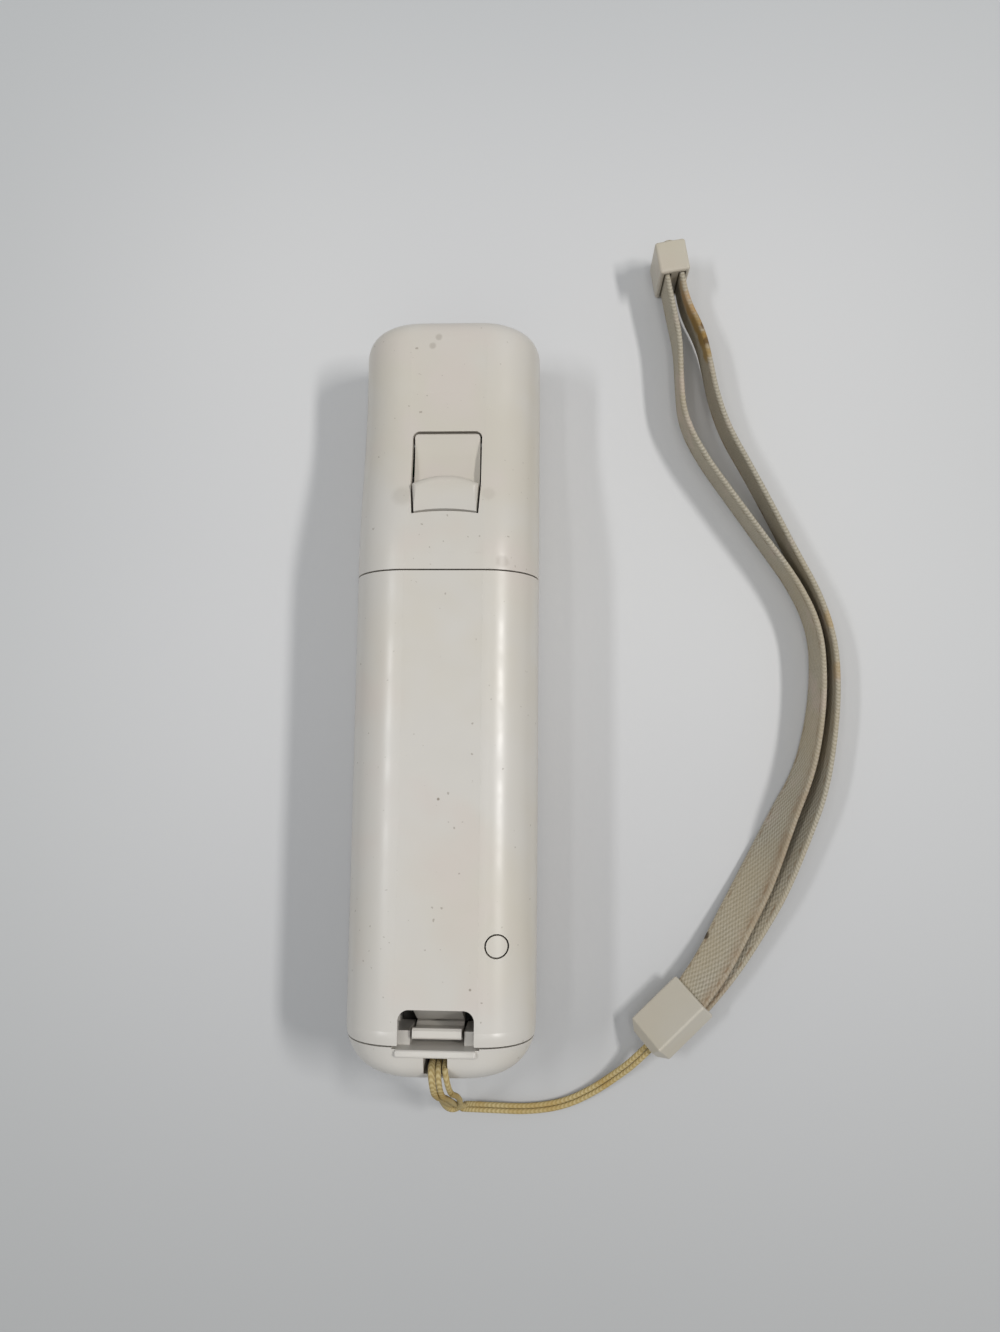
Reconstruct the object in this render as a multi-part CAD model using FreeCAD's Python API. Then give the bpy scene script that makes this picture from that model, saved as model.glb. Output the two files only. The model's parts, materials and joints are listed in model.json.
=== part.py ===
import FreeCAD, Part
import math
import os

# A hand-held game controller with its wrist strap, lying on its button face.
# X runs across the controller, +Y towards the sensor end, +Z up to its back.
# The origin is on the surface it lies on, under the middle of the housing.
# All lengths are millimetres and all angles are degrees.

Vec = FreeCAD.Vector

# Overall size of the housing
length = 148.0
width = 36.2
thickness = 30.8
key_proud = 0.8
wall = 1.8
face_z = key_proud
face_round = 3.0
back_round = 10.5

# In the names below a reach is told from the nearer end of the housing,
# an inset from its side and a drop from the crown of its back.

# Nose, the thinner sensor end, and tail, the strap end
nose_drop = 4.8
nose_slope_start_reach = 50.0
nose_slope_end_reach = 16.0
nose_corner = 5.5
nose_edge = 4.0
tail_corner = 9.0
tail_edge = 3.6
tail_slope_reach = 6.9
tail_slope_drop = 1.3
face_end_edge = 2.5

# Seams between the shells
part_line_z = 9.0
part_line_gap = 0.15
cover_front_y = 20.7
cover_tail_reach = 6.45
cover_side_drop = 10.3
cover_gap = 0.3
hook_x = (5.0, 9.0)
hook_play = 0.4
hook_slot_drop = 4.4
hook_drop = 3.6
hook_tip_drop = 2.5
hook_depth = 2.0
hook_tip_depth = 1.3
rib_drop = 3.2
rib_half_width = 9.0
rib_thickness = 1.0
rib_places = (-34.0, -14.0, 6.0)

# Button keys on the face
key_gap = 0.25
key_tip_round = 0.5
flange_thickness = 0.8
flange_overhang = 1.0
flange_gap = 0.3
cross_span = 17.0
cross_arm = 5.6
cross_reach = 23.0
cross_flange_gap = 0.55
cross_flange_overhang = 0.6
cross_rim_round = 0.4
cross_dish_radius = 6.0
cross_dish_depth = 0.45
cross_pad_radius = 8.2
cross_pad_thickness = 0.7
cross_pad_gap = 0.45
cross_stud_radius = 2.0
cross_stud_height = 1.0
a_key_reach = 46.0
a_key_radius = 5.8
small_key_radius = 2.7
small_key_y = 6.0
small_key_inset = 7.1
small_key_proud = 0.5
number_key_radius = 3.8
number_key_y = (-28.0, -40.0)
power_key_inset = 7.1
power_key_reach = 11.0
power_key_radius = 2.3
power_key_proud = 0.3

# Main board
board_z = 6.0
board_thickness = 1.2
board_corner = 2.0
board_side_gap = 1.0
board_tail_reach = 10.0
board_front_reach = 8.0
board_post_gap = 0.3
dome_height = 1.55
dome_radii = (1.2, 2.0)
dome_foot_radius = 2.4
dome_foot_height = 0.4
chip_height = 1.1
chips = [(0.0, 33.0, 8.0, 8.0), (-8.0, 44.0, 6.0, 5.0), (7.0, 40.0, 5.0, 4.0),
         (0.0, -20.0, 9.0, 9.0), (-9.0, -6.0, 5.0, 7.0), (9.0, -34.0, 5.0, 5.0)]
radio_x = (-8.5, 3.5)
radio_reach = (11.5, 23.5)
radio_height = 1.7
radio_corner = 0.8

# Speaker and light guide behind the face
speaker_y = -9.0
speaker_radius = 8.0
speaker_thickness = 3.0
speaker_frame_thickness = 1.6
speaker_gap = 0.1
speaker_magnet_radius = 4.4
speaker_cone_radii = (7.0, 2.0)
speaker_cone_depth = 1.0
speaker_hole_radius = 0.6
speaker_rows = 5
speaker_columns = 4
speaker_pitch = 2.4
light_reach = 18.0
light_post_gap = 1.0
light_count = 4
light_size = (1.8, 1.2)
light_gap = 0.1
light_bar_half_depth = 1.6
light_bar_thickness = 1.0
lamp_size = (1.6, 1.0, 1.2)

# Battery bay
cell_gap = 0.6
cell_nub_radius = 2.6
cell_nub_length = 1.2
cell_nub_play = 0.2
cell_rim_round = 0.6
cell_floor_gap = 0.1
cell_side_play = 0.3
cell_side_room = 1.8
cell_head_room = 1.9
bay_tail_reach = 29.5
bay_front_y = 12.0
bay_floor_z = 10.2
bay_floor_thickness = 1.2
bay_end_thickness = 1.5
bay_end_drop = 6.8
bay_end_inset = 4.6
contact_thickness = 0.4
contact_size = 9.0
spring_room = 5.4
spring_radius = 2.9
spring_wire_radius = 0.35
spring_play = 0.05
spring_turns = 3
spring_steps = 16
spring_sides = 6

# Decks, latch pocket and screws under the cover
deck_drop = 12.1
deck_thickness = 1.5
bulkhead_thickness = 1.55
pocket_half_width = 8.0
pocket_front_reach = 15.5
pocket_floor_gap = 0.3
pocket_wall = 1.2
ledge_front_reach = 8.6
ledge_drop = 3.3
ledge_gap = 0.5
ledge_width = 3.6
boss_radius = 2.6
screw_shank_radius = 1.2
screw_hole_gap = 0.1
screw_head_radius = 2.2
screw_head_height = 1.4
screw_slot_length = 3.0
screw_slot_width = 0.6
screw_slot_depth = 0.7
screw_inset = 5.5
screw_front_y = 16.8
screw_tail_reach = 18.0
screw_tip_z = 4.2

# Cover latch: a U-shaped tongue in a notch of the cover
notch_half_width = 7.0
notch_front_reach = 12.95
notch_corner = 2.0
tongue_half_width = 4.55
tongue_thickness = 1.2
tongue_bend_reach = 8.6
tongue_bend_drop = 10.4
tab_top_drop = 2.2
tab_tail_reach = 7.3
tab_front_reach = 9.2
tab_thickness = 1.2
nib_depth = 0.5

# Round cap in the cover and the button it pushes
cap_inset = 7.15
cap_reach = 24.4
cap_radius = 1.95
cap_hole_radius = 2.25
cap_flange_radius = 2.9
cap_flange_drop = 5.8
cap_flange_thickness = 0.8
cap_foot_drop = 6.2
sync_top_drop = 6.5
sync_radius = 1.6
sync_flange_radius = 2.5
sync_flange_thickness = 0.7
sync_foot_z = 12.3
sync_guide_wall = 1.0
sync_gap = 0.3
switch_half_width = 3.0
switch_height = 3.4
switch_stem_radius = 1.5
switch_stem_height = 0.8

# Trigger
trigger_half_width = 6.5
trigger_rear_half_width = 6.15
trigger_taper_reach = 36.0
trigger_gap = 0.4
trigger_front_reach = 24.8
trigger_rear_reach = 41.65
trigger_rear_drop = 0.8
trigger_rear_bow = 0.45
trigger_crest_drop = 0.05
trigger_crest_reach = 34.4
trigger_crest_radius = 14.0
trigger_crest_round = 1.3
trigger_side_round = 1.1
trigger_valley_drop = 4.7
trigger_ramp_foot_rise = 0.9
trigger_ramp_overlap = 1.0
trigger_front_bevel = 0.3
trigger_front_drop = 0.1
trigger_top_run = 2.4
trigger_back_middle = (4.6, 0.2)
trigger_base_below_pin = 0.4
trigger_pin_reach = 26.4
trigger_pin_drop = 7.2
trigger_pin_radius = 0.8
trigger_pin_gap = 0.05
trigger_hub_radius = 1.9
trigger_corner = 1.0
trigger_post_half_width = 1.5
trigger_post_y = 3.65
trigger_post_gap = 1.3
ear_thickness = 1.8
ear_half_depth = 1.9
shelf_drop = 14.0
shelf_front_reach = 31.0
shelf_thickness = 1.2
trigger_board_half_width = 6.0
trigger_board_ends = (1.35, 1.0)
trigger_board_thickness = 1.2
trigger_dome_height = 1.4
trigger_dome_radii = (2.4, 1.5)
trigger_dome_foot_radius = 3.2
trigger_dome_foot_height = 0.5

# Rumble motor
motor_board_gap = 1.6
motor_shelf_gap = 0.4
motor_bay_gap = 2.6
motor_length = 12.4
motor_bush_radius = 1.4
motor_bush_length = 0.6
motor_bore_depth = 6.0
motor_shaft_radius = 0.5
motor_shaft_gap = 0.05
weight_radius_less = 0.5
weight_length = 3.0
weight_hub_radius = 1.1
weight_cut_height = 0.6
weight_play = 0.2

# Sensor window and camera at the nose
window_inset = 5.8
window_z = (4.2, 15.2)
window_gap = 0.1
window_rim_width = 1.0
window_rim_thickness = 0.8
camera_size = (9.0, 7.0, 6.6)
camera_front_reach = 4.2
lens_radius = 2.2
lens_length = 1.2
lens_cup_radius = 2.6
lens_cup_depth = 0.5

# Socket at the tail
socket_half_width = 7.2
socket_z = (6.4, 12.9)
socket_wall = 1.2
socket_depth = 9.2
socket_inset = 0.2
socket_gap = 0.2
socket_tongue_half_width = 4.6
socket_tongue_thickness = 1.0
socket_tongue_inset = 1.2
socket_pin_count = 6
socket_pin_pitch = 1.4
socket_pin_size = (0.7, 5.5, 0.15)
socket_pin_reach = 1.8

# Strap bar and strap hole in the tail
strap_bar_half_width = 7.5
strap_bar_reach = (4.58, 6.0)
strap_bar_proud = 0.45
strap_bar_round = 0.45
strap_bar_foot = 2.0
strap_hole_half_width = 2.2
strap_hole_reach = (1.4, 4.58)
strap_hole_drop = 9.8
strap_post_radius = 0.7
strap_post_reach = 3.1
strap_post_drop = 8.6

# Wrist strap: its places along Y are told from the tail end
string_diameter = 1.8
webbing_width = 9.2
webbing_thickness = 1.1
webbing_mouth_width = 8.0
webbing_mouth_steps = 9
block_start = (40.3, 1.7)
block_heading = 44.0
block_length = 14.0
block_width = 9.2
block_height = 6.2
block_roll = 38.0
block_chamfer = 1.6
block_round = 0.5
strap_end = (46.4, 170.7)
strap_end_heading = 99.8
strap_end_z = 5.8
leg_pitch = 3.2
slider_length = 7.2
slider_width = 6.6
slider_height = 11.6
slider_fit = 0.3
slider_round = 0.6
slider_proud_fold = 0.9
slider_divider_drop = 2.0
straight_run = (12.0, 4.5, 0.0)
bend_share = 0.45

# Route of the doubled string, from the post in the strap hole to the block.
# The first five heights are drops from the back, the others stand on the table.
string_hang = [
    (-0.2, 3.1, 7.5), (-0.1, 3.1, 1.6), (0.1, 0.8, 0.0), (0.5, -2.8, 2.4), (0.9, -5.2, 9.6),
]
string_run = [
    (1.4, -8.1, 14.2), (2.1, -10.7, 7.6), (4.2, -12.2, 2.6),
    (9.8, -12.7, 1.4), (16.6, -12.9, 1.1), (23.6, -11.8, 1.1), (29.6, -9.0, 1.3),
    (34.6, -5.4, 2.2), (38.2, -2.2, 3.9), (42.1, 2.0, 5.1),
]

# Places that follow from the sizes above
half_width = width / 2
half_length = length / 2
tail_y = -half_length
nose_y = half_length
nose_slope_start_y = nose_y - nose_slope_start_reach
nose_slope_end_y = nose_y - nose_slope_end_reach
tail_slope_y = tail_y + tail_slope_reach
cover_tail_y = tail_y + cover_tail_reach
cover_side_z = thickness - cover_side_drop
rib_z = thickness - rib_drop
cross_y = nose_y - cross_reach
a_key_y = nose_y - a_key_reach
small_key_pitch = half_width - small_key_inset
power_key_x = half_width - power_key_inset
power_key_y = nose_y - power_key_reach
board_half_width = half_width - wall - board_side_gap
board_tail_y = tail_y + board_tail_reach
board_front_y = nose_y - board_front_reach
board_top = board_z + board_thickness
light_y = tail_y + light_reach
bay_tail_y = tail_y + bay_tail_reach
bay_floor_top = bay_floor_z + bay_floor_thickness
bay_end_z = thickness - bay_end_drop
bay_end_half_width = half_width - bay_end_inset
cell_length = bay_front_y - bay_tail_y - spring_room - contact_thickness - cell_nub_play
cell_room_across = half_width - wall - cell_side_room - cell_gap / 2
cell_room_up = rib_z - cell_head_room - bay_floor_top - cell_floor_gap
cell_radius = min(cell_room_across, cell_room_up) / 2
deck_z = thickness - deck_drop
deck_top = deck_z + deck_thickness
pocket_front_y = tail_y + pocket_front_reach
pocket_floor_z = socket_z[1] + socket_gap + pocket_floor_gap
pocket_floor_top = pocket_floor_z + pocket_wall
ledge_front_y = tail_y + ledge_front_reach
ledge_z = thickness - ledge_drop
screw_x = half_width - screw_inset
screw_tail_y = tail_y + screw_tail_reach
light_pitch = 2 * (screw_x - boss_radius - light_post_gap - light_size[0]) / (light_count - 1)
notch_front_y = tail_y + notch_front_reach
tongue_bend = (tail_y + tongue_bend_reach, thickness - tongue_bend_drop)
tab_top_z = thickness - tab_top_drop
tab_tail_y = tail_y + tab_tail_reach
tab_front_y = tail_y + tab_front_reach
cap_xy = (half_width - cap_inset, tail_y + cap_reach)
cap_flange_z = thickness - cap_flange_drop
cap_foot_z = thickness - cap_foot_drop
sync_top_z = thickness - sync_top_drop
trigger_taper_y = nose_y - trigger_taper_reach
trigger_front_y = nose_y - trigger_front_reach
trigger_rear_y = nose_y - trigger_rear_reach
trigger_rear_z = thickness - trigger_rear_drop
trigger_crest_y = nose_y - trigger_crest_reach
trigger_crest_z = thickness - trigger_crest_drop
trigger_valley_z = thickness - trigger_valley_drop
trigger_pin_y = nose_y - trigger_pin_reach
trigger_pin_z = thickness - trigger_pin_drop
trigger_base_z = trigger_pin_z - trigger_base_below_pin
trigger_dome_y = trigger_rear_y + trigger_post_y
shelf_z = thickness - shelf_drop
shelf_top = shelf_z + shelf_thickness
shelf_front_y = nose_y - shelf_front_reach
motor_radius = (shelf_z - motor_shelf_gap - board_top - motor_board_gap) / 2
motor_z = board_top + motor_board_gap + motor_radius
motor_tail_y = bay_front_y + motor_bay_gap
motor_front_y = motor_tail_y + motor_length
weight_radius = motor_radius - weight_radius_less
window_half_width = half_width - window_inset
camera_front_y = nose_y - camera_front_reach
strap_bar_y = (tail_y + strap_bar_reach[0], tail_y + strap_bar_reach[1])
strap_hole_y = (tail_y + strap_hole_reach[0], tail_y + strap_hole_reach[1])
strap_hole_floor_z = thickness - strap_hole_drop
strap_post = (tail_y + strap_post_reach, thickness - strap_post_drop)
string_route = ([(x, tail_y + y, thickness - drop) for x, y, drop in string_hang]
                + [(x, tail_y + y, z) for x, y, z in string_run])


def box(x0, x1, y0, y1, z0, z1):
    """A box between two corners."""
    return Part.makeBox(x1 - x0, y1 - y0, z1 - z0, Vec(x0, y0, z0))


def rod(radius, start, direction, height):
    """A cylinder from a start point along a direction."""
    return Part.makeCylinder(radius, height, Vec(*start), Vec(*direction))


def fuse(shapes):
    """One solid from touching or overlapping shapes."""
    return shapes[0].multiFuse(shapes[1:]).removeSplitter()


def cut(shape, tools):
    """A shape less several tools."""
    return shape.cut(tools)


def group(solids):
    """Separate solids that share one node."""
    return Part.Compound(solids)


def prism_x(points, x0, x1):
    """A flat outline in Y and Z, carried from x0 to x1."""
    wire = Part.makePolygon([Vec(x0, y, z) for y, z in points + points[:1]])
    return Part.Face(wire).extrude(Vec(x1 - x0, 0, 0))


def rounded_plate(x0, x1, y0, y1, z0, z1, radius):
    """A plate with its four upright corners rounded."""
    plate = box(x0, x1, y0, y1, z0, z1)
    uprights = [e for e in plate.Edges if abs(e.tangentAt(e.FirstParameter).z) > 0.9]
    return plate.makeFillet(radius, uprights)


def quarter_drop(depth, radius):
    """How far a quarter-round edge lies inside, this deep from the end."""
    if depth >= radius:
        return 0.0
    return radius - math.sqrt(max(0.0, radius ** 2 - (radius - depth) ** 2))


def back_height(y):
    """Height of the back along the housing: level, then eased down to each end."""
    t = (y - nose_slope_start_y) / (nose_slope_end_y - nose_slope_start_y)
    t = min(1.0, max(0.0, t))
    tail = max(0.0, (tail_slope_y - y) / tail_slope_reach)
    return thickness - nose_drop * (3 * t ** 2 - 2 * t ** 3) - tail_slope_drop * tail


def section_wire(y, end, inset):
    """Cross-section of the housing at y, less an inset all round.

    end is the y of the nearer end face: towards it the sides, the back and
    the face draw in by quarter rounds.
    """
    corner, edge = (nose_corner, nose_edge) if end > 0 else (tail_corner, tail_edge)
    depth = abs(end - y)
    a = half_width - inset - quarter_drop(depth, corner - inset)
    top = back_height(y) - inset - quarter_drop(depth, edge - inset)
    low = face_z + inset + quarter_drop(depth, face_end_edge - inset)
    share = a / (half_width - inset)
    r = (back_round - inset) * share
    f = (face_round - inset) * share
    d = math.sqrt(0.5)

    def at(x, z):
        return Vec(x, y, z)

    edges = [
        Part.makeLine(at(f - a, low), at(a - f, low)),
        Part.Arc(at(a - f, low), at(a - f + f * d, low + f - f * d), at(a, low + f)).toShape(),
        Part.makeLine(at(a, low + f), at(a, top - r)),
        Part.Arc(at(a, top - r), at(a - r + r * d, top - r + r * d), at(a - r, top)).toShape(),
        Part.makeLine(at(a - r, top), at(r - a, top)),
        Part.Arc(at(r - a, top), at(r - a - r * d, top - r + r * d), at(-a, top - r)).toShape(),
        Part.makeLine(at(-a, top - r), at(-a, low + f)),
        Part.Arc(at(-a, low + f), at(f - a - f * d, low + f - f * d), at(f - a, low)).toShape(),
    ]
    return Part.Wire(edges)


def cap_stations(end, corner):
    """Places along a rounded end, crowded towards the end face."""
    sign = 1 if end > 0 else -1
    steps = 7
    angles = [math.pi / 2 * k / (steps - 1) for k in range(steps)]
    return [end - sign * corner * (1 - math.cos(a)) for a in angles]


def housing_solid(inset):
    """The whole outer form of the housing, or the hollow inside it."""
    tail_end = -half_length + inset
    nose_end = half_length - inset
    tail = cap_stations(tail_end, tail_corner - inset)
    nose = cap_stations(nose_end, nose_corner - inset)
    tail_loft = Part.makeLoft([section_wire(y, tail_end, inset) for y in tail], True)
    straight_end = nose_slope_start_y
    prism_face = Part.Face(section_wire(tail[-1], tail_end - tail_corner, inset))
    prism = prism_face.extrude(Vec(0, straight_end - tail[-1], 0))
    slope_steps = 6
    slope = [straight_end + (nose_slope_end_y - straight_end) * k / slope_steps
             for k in range(slope_steps + 1)]
    slope_end = nose_end + nose_corner
    slope_loft = Part.makeLoft([section_wire(y, slope_end + nose_corner, inset) for y in slope], True)
    flat_face = Part.Face(section_wire(slope[-1], slope_end + nose_corner, inset))
    flat = flat_face.extrude(Vec(0, nose[-1] - slope[-1], 0))
    nose_loft = Part.makeLoft([section_wire(y, nose_end, inset) for y in reversed(nose)], True)
    return fuse([tail_loft, prism, slope_loft, flat, nose_loft])


outer = housing_solid(0.0)
hollow = housing_solid(wall)
shell = outer.cut(hollow)
middle_form = housing_solid(wall / 2)

big = length
swing_radius = cover_front_y - cover_tail_y
trigger_hole_half_width = trigger_half_width + trigger_gap
pin_reach = trigger_hole_half_width + ear_thickness


def cover_zone(gap):
    """The space of the battery cover, grown or shrunk by half a seam.

    Its tail face is round about the hinge line at the front seam, so that the
    lower edge of the cover swings clear of the tail.
    """
    low = cover_side_z - gap
    front = cover_front_y + gap
    slab = box(-big, big, -big, front, low, big)
    swing = rod(swing_radius + gap, (-big, cover_front_y, thickness), (1, 0, 0), 2 * big)
    return slab.common(swing)


def screw_places():
    """Centres of the four case screws."""
    return [(sx * screw_x, y) for y in (screw_front_y, screw_tail_y) for sx in (-1, 1)]


def speaker_places():
    """Centres of the speaker holes, in rows across the face."""
    return [((c - (speaker_columns - 1) / 2) * speaker_pitch,
             speaker_y + (r - (speaker_rows - 1) / 2) * speaker_pitch)
            for r in range(speaker_rows) for c in range(speaker_columns)]


def light_places():
    """Centres across the face of the indicator lights."""
    return [(k - (light_count - 1) / 2) * light_pitch for k in range(light_count)]


def cross_outline(span, arm, z0, z1):
    """A cross of two bars, centred on the direction pad."""
    one = box(-span / 2, span / 2, cross_y - arm / 2, cross_y + arm / 2, z0, z1)
    two = box(-arm / 2, arm / 2, cross_y - span / 2, cross_y + span / 2, z0, z1)
    return fuse([one, two])


def round_keys():
    """Name, centre, radius and proud height of every round key on the face."""
    keys = [("a_button", 0.0, a_key_y, a_key_radius, key_proud),
            ("minus_button", small_key_pitch, small_key_y, small_key_radius, small_key_proud),
            ("home_button", 0.0, small_key_y, small_key_radius, small_key_proud),
            ("plus_button", -small_key_pitch, small_key_y, small_key_radius, small_key_proud),
            ("power_button", power_key_x, power_key_y, power_key_radius, power_key_proud)]
    for name, y in zip(("one_button", "two_button"), number_key_y):
        keys.append((name, 0.0, y, number_key_radius, key_proud))
    return keys


def window_opening():
    """The opening in the nose for the sensor window."""
    return box(-window_half_width, window_half_width, half_length - 2 * wall, big,
               window_z[0], window_z[1])


def socket_opening():
    """The opening in the tail for the extension socket."""
    w = socket_half_width + socket_gap
    return box(-w, w, -big, -half_length + 2 * wall, socket_z[0] - socket_gap, socket_z[1] + socket_gap)


def front_housing():
    """Button face: a shallow tray with key holes, speaker holes and screw posts."""
    top = part_line_z - part_line_gap
    tray = shell.common(box(-big, big, -big, big, -big, top))
    posts = [rod(boss_radius, (x, y, face_z + wall / 2), (0, 0, 1), top - face_z - wall / 2)
             for x, y in screw_places()]
    tray = fuse([tray] + posts)
    through = face_z + wall + 1
    tools = [cross_outline(cross_span + 2 * key_gap, cross_arm + 2 * key_gap, -1, through)]
    for name, x, y, radius, proud in round_keys():
        tools.append(rod(radius + key_gap, (x, y, -1), (0, 0, 1), through + 1))
    for x, y in speaker_places():
        tools.append(rod(speaker_hole_radius, (x, y, -1), (0, 0, 1), through + 1))
    for x in light_places():
        w, d = light_size
        tools.append(box(x - w / 2, x + w / 2, light_y - d / 2, light_y + d / 2, -1, through))
    for x, y in screw_places():
        hole = screw_shank_radius + screw_hole_gap
        tools.append(rod(hole, (x, y, screw_tip_z - 0.5), (0, 0, 1), top))
    tools += [window_opening(), socket_opening()]
    return cut(tray, tools)


def battery_bay():
    """Floor, end walls and side fillers that hold the two cells."""
    tail = bay_tail_y - bay_end_thickness
    front = bay_front_y + bay_end_thickness
    floor = box(-half_width, half_width, tail, front, bay_floor_z, bay_floor_top)
    pieces = [floor]
    for y0, y1 in ((tail, bay_tail_y), (bay_front_y, front)):
        pieces.append(box(-half_width, half_width, y0, y1, bay_floor_z, deck_top))
        pieces.append(box(-bay_end_half_width, bay_end_half_width, y0, y1, bay_floor_z, bay_end_z))
    side = cell_gap / 2 + 2 * cell_radius + cell_side_play
    for sx in (-1, 1):
        x0, x1 = sorted((sx * side, sx * half_width))
        pieces.append(box(x0, x1, tail, front, bay_floor_z, deck_top))
    return pieces


def decks():
    """Level decks before and behind the bay, with the latch pocket."""
    bulkhead_y = cover_front_y + cover_gap / 2
    front_end = bulkhead_y + bulkhead_thickness / 2
    pieces = [box(-half_width, half_width, bay_front_y, front_end, deck_z, deck_top),
              box(-half_width, half_width, -half_length, bay_tail_y, deck_z, deck_top),
              box(-half_width, half_width, bulkhead_y, bulkhead_y + bulkhead_thickness, shelf_z, thickness)]
    w = pocket_half_width + pocket_wall
    pieces.append(box(-w, w, -half_length + wall, pocket_front_y + pocket_wall, pocket_floor_z, deck_top))
    for x, y in screw_places():
        pieces.append(rod(boss_radius, (x, y, part_line_z), (0, 0, 1), deck_top - part_line_z))
    guide = sync_radius + sync_gap + sync_guide_wall
    guide_z = sync_foot_z + sync_flange_thickness + sync_gap
    pieces.append(rod(guide, (cap_xy[0], cap_xy[1], guide_z), (0, 0, 1), deck_top - guide_z))
    return pieces


def tail_block():
    """Solid tail above the socket, which carries the strap."""
    return box(-half_width, half_width, -half_length, cover_tail_y + wall / 2, pocket_floor_z, thickness)


def latch_ledges():
    """Ledges on both sides of the latch, which close the rear half of the notch."""
    ledges = []
    inner = tongue_half_width + ledge_gap
    for sx in (-1, 1):
        x0, x1 = sorted((sx * inner, sx * (inner + ledge_width)))
        ledges.append(box(x0, x1, strap_bar_y[1] - wall / 2, ledge_front_y, deck_z, ledge_z))
    return ledges


def strap_bar():
    """Bar across the tail behind the notch of the cover, a little proud of the back."""
    y0, y1 = strap_bar_y
    top = thickness + strap_bar_proud
    bar = box(-strap_bar_half_width, strap_bar_half_width, y0, y1, thickness - strap_bar_foot, top)
    corners = [e for e in bar.Edges if abs(e.tangentAt(e.FirstParameter).z) > 0.9]
    bar = bar.makeFillet(strap_bar_round + 0.1, corners)
    return bar.makeFillet(strap_bar_round, [e for e in bar.Edges if e.BoundBox.ZMin > top - 0.01])


def trigger_mounts():
    """Ears for the trigger pin and the shelf below the trigger."""
    pieces = []
    inner = trigger_hole_half_width
    for sx in (-1, 1):
        x0, x1 = sorted((sx * inner, sx * pin_reach))
        ear = box(x0, x1, trigger_pin_y - ear_half_depth, trigger_pin_y + ear_half_depth,
                  trigger_pin_z - ear_half_depth, back_height(trigger_pin_y) - wall / 2)
        pieces.append(ear)
    bulkhead_y = cover_front_y + cover_gap / 2 + bulkhead_thickness / 2
    pieces.append(box(-pin_reach, pin_reach, bulkhead_y, shelf_front_y, shelf_z, shelf_top))
    return pieces


def trigger_swing(gap):
    """A round body about the trigger pin that bounds the trigger's rear face.

    It is a little thinner in the middle, which bows the rear edge.
    """
    reach = math.hypot(trigger_pin_y - trigger_rear_y, trigger_rear_z - trigger_pin_z) + gap
    end = half_width
    dip = trigger_rear_bow * (end / trigger_rear_half_width) ** 2
    corners = [Vec(end, reach + dip - trigger_rear_bow, 0), Vec(end, 0, 0), Vec(-end, 0, 0),
               Vec(-end, reach + dip - trigger_rear_bow, 0)]
    edges = [Part.makeLine(p, q) for p, q in zip(corners, corners[1:])]
    edges.append(Part.Arc(corners[-1], Vec(0, reach - trigger_rear_bow, 0), corners[0]).toShape())
    body = Part.Face(Part.Wire(edges)).revolve(Vec(0, 0, 0), Vec(1, 0, 0), 360)
    body.translate(Vec(0, trigger_pin_y, trigger_pin_z))
    return body


def trigger_plan(gap, z0, z1):
    """The trigger seen from the back: square in front and tapered to the rear."""
    w = trigger_half_width + gap
    rear = trigger_rear_half_width + gap
    front_y = trigger_front_y + gap
    rear_y = trigger_rear_y - wall
    taper = (trigger_taper_y - trigger_rear_y) / (trigger_half_width - trigger_rear_half_width)
    rear -= (trigger_rear_y - rear_y) / taper
    outline = [Vec(-w, front_y, z0), Vec(w, front_y, z0), Vec(w, trigger_taper_y, z0), Vec(rear, rear_y, z0),
               Vec(-rear, rear_y, z0), Vec(-w, trigger_taper_y, z0)]
    plan = Part.Face(Part.makePolygon(outline + outline[:1])).extrude(Vec(0, 0, z1 - z0))
    corners = [e for e in plan.Edges
               if abs(e.tangentAt(e.FirstParameter).z) > 0.9 and e.BoundBox.YMin > front_y - 0.1]
    return plan.makeFillet(trigger_corner + gap, corners)


def trigger_opening():
    """The hole in the back for the trigger."""
    return trigger_plan(trigger_gap, shelf_top, big).common(trigger_swing(trigger_gap))


def hook_slots():
    """Slots in the bulkhead for the two front hooks of the cover."""
    slots = []
    for sx in (-1, 1):
        x0, x1 = sorted((sx * (hook_x[0] - hook_play), sx * (hook_x[1] + hook_play)))
        slots.append(box(x0, x1, cover_front_y - wall, cover_front_y + 2 * hook_tip_depth,
                         thickness - hook_slot_drop, thickness - wall))
    return slots


def rear_housing():
    """Back shell: trigger opening, battery bay, decks, latch pocket and tail."""
    case = shell.common(box(-big, big, -big, big, part_line_z, big))
    inside = fuse(battery_bay() + decks() + trigger_mounts() + [tail_block()])
    inside = inside.common(middle_form).common(box(-big, big, -big, big, part_line_z, big))
    case = fuse([case, inside])
    case = case.cut(cover_zone(cover_gap / 2).cut(bay_supports()))
    case = fuse([case, strap_bar()])
    w = pocket_half_width
    y0, y1 = strap_hole_y
    pin_hole = trigger_pin_radius + trigger_pin_gap / 2
    latch_space = box(-w, w, strap_bar_y[1], pocket_front_y, pocket_floor_top, big)
    tools = [trigger_opening(), window_opening(), socket_opening(), latch_space.common(latch_swing()),
             box(-strap_hole_half_width, strap_hole_half_width, y0, y1, strap_hole_floor_z, big),
             rod(pin_hole, (-pin_reach, trigger_pin_y, trigger_pin_z), (1, 0, 0), 2 * pin_reach),
             rod(sync_radius + sync_gap, (cap_xy[0], cap_xy[1], part_line_z), (0, 0, 1), thickness)]
    for x, y in screw_places():
        tools.append(rod(screw_shank_radius + screw_hole_gap, (x, y, 0), (0, 0, 1), thickness))
    case = cut(case, tools + hook_slots())
    post_end = strap_hole_half_width + strap_post_radius
    post = rod(strap_post_radius, (-post_end, strap_post[0], strap_post[1]), (1, 0, 0), 2 * post_end)
    return fuse([case, post] + latch_ledges())


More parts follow.
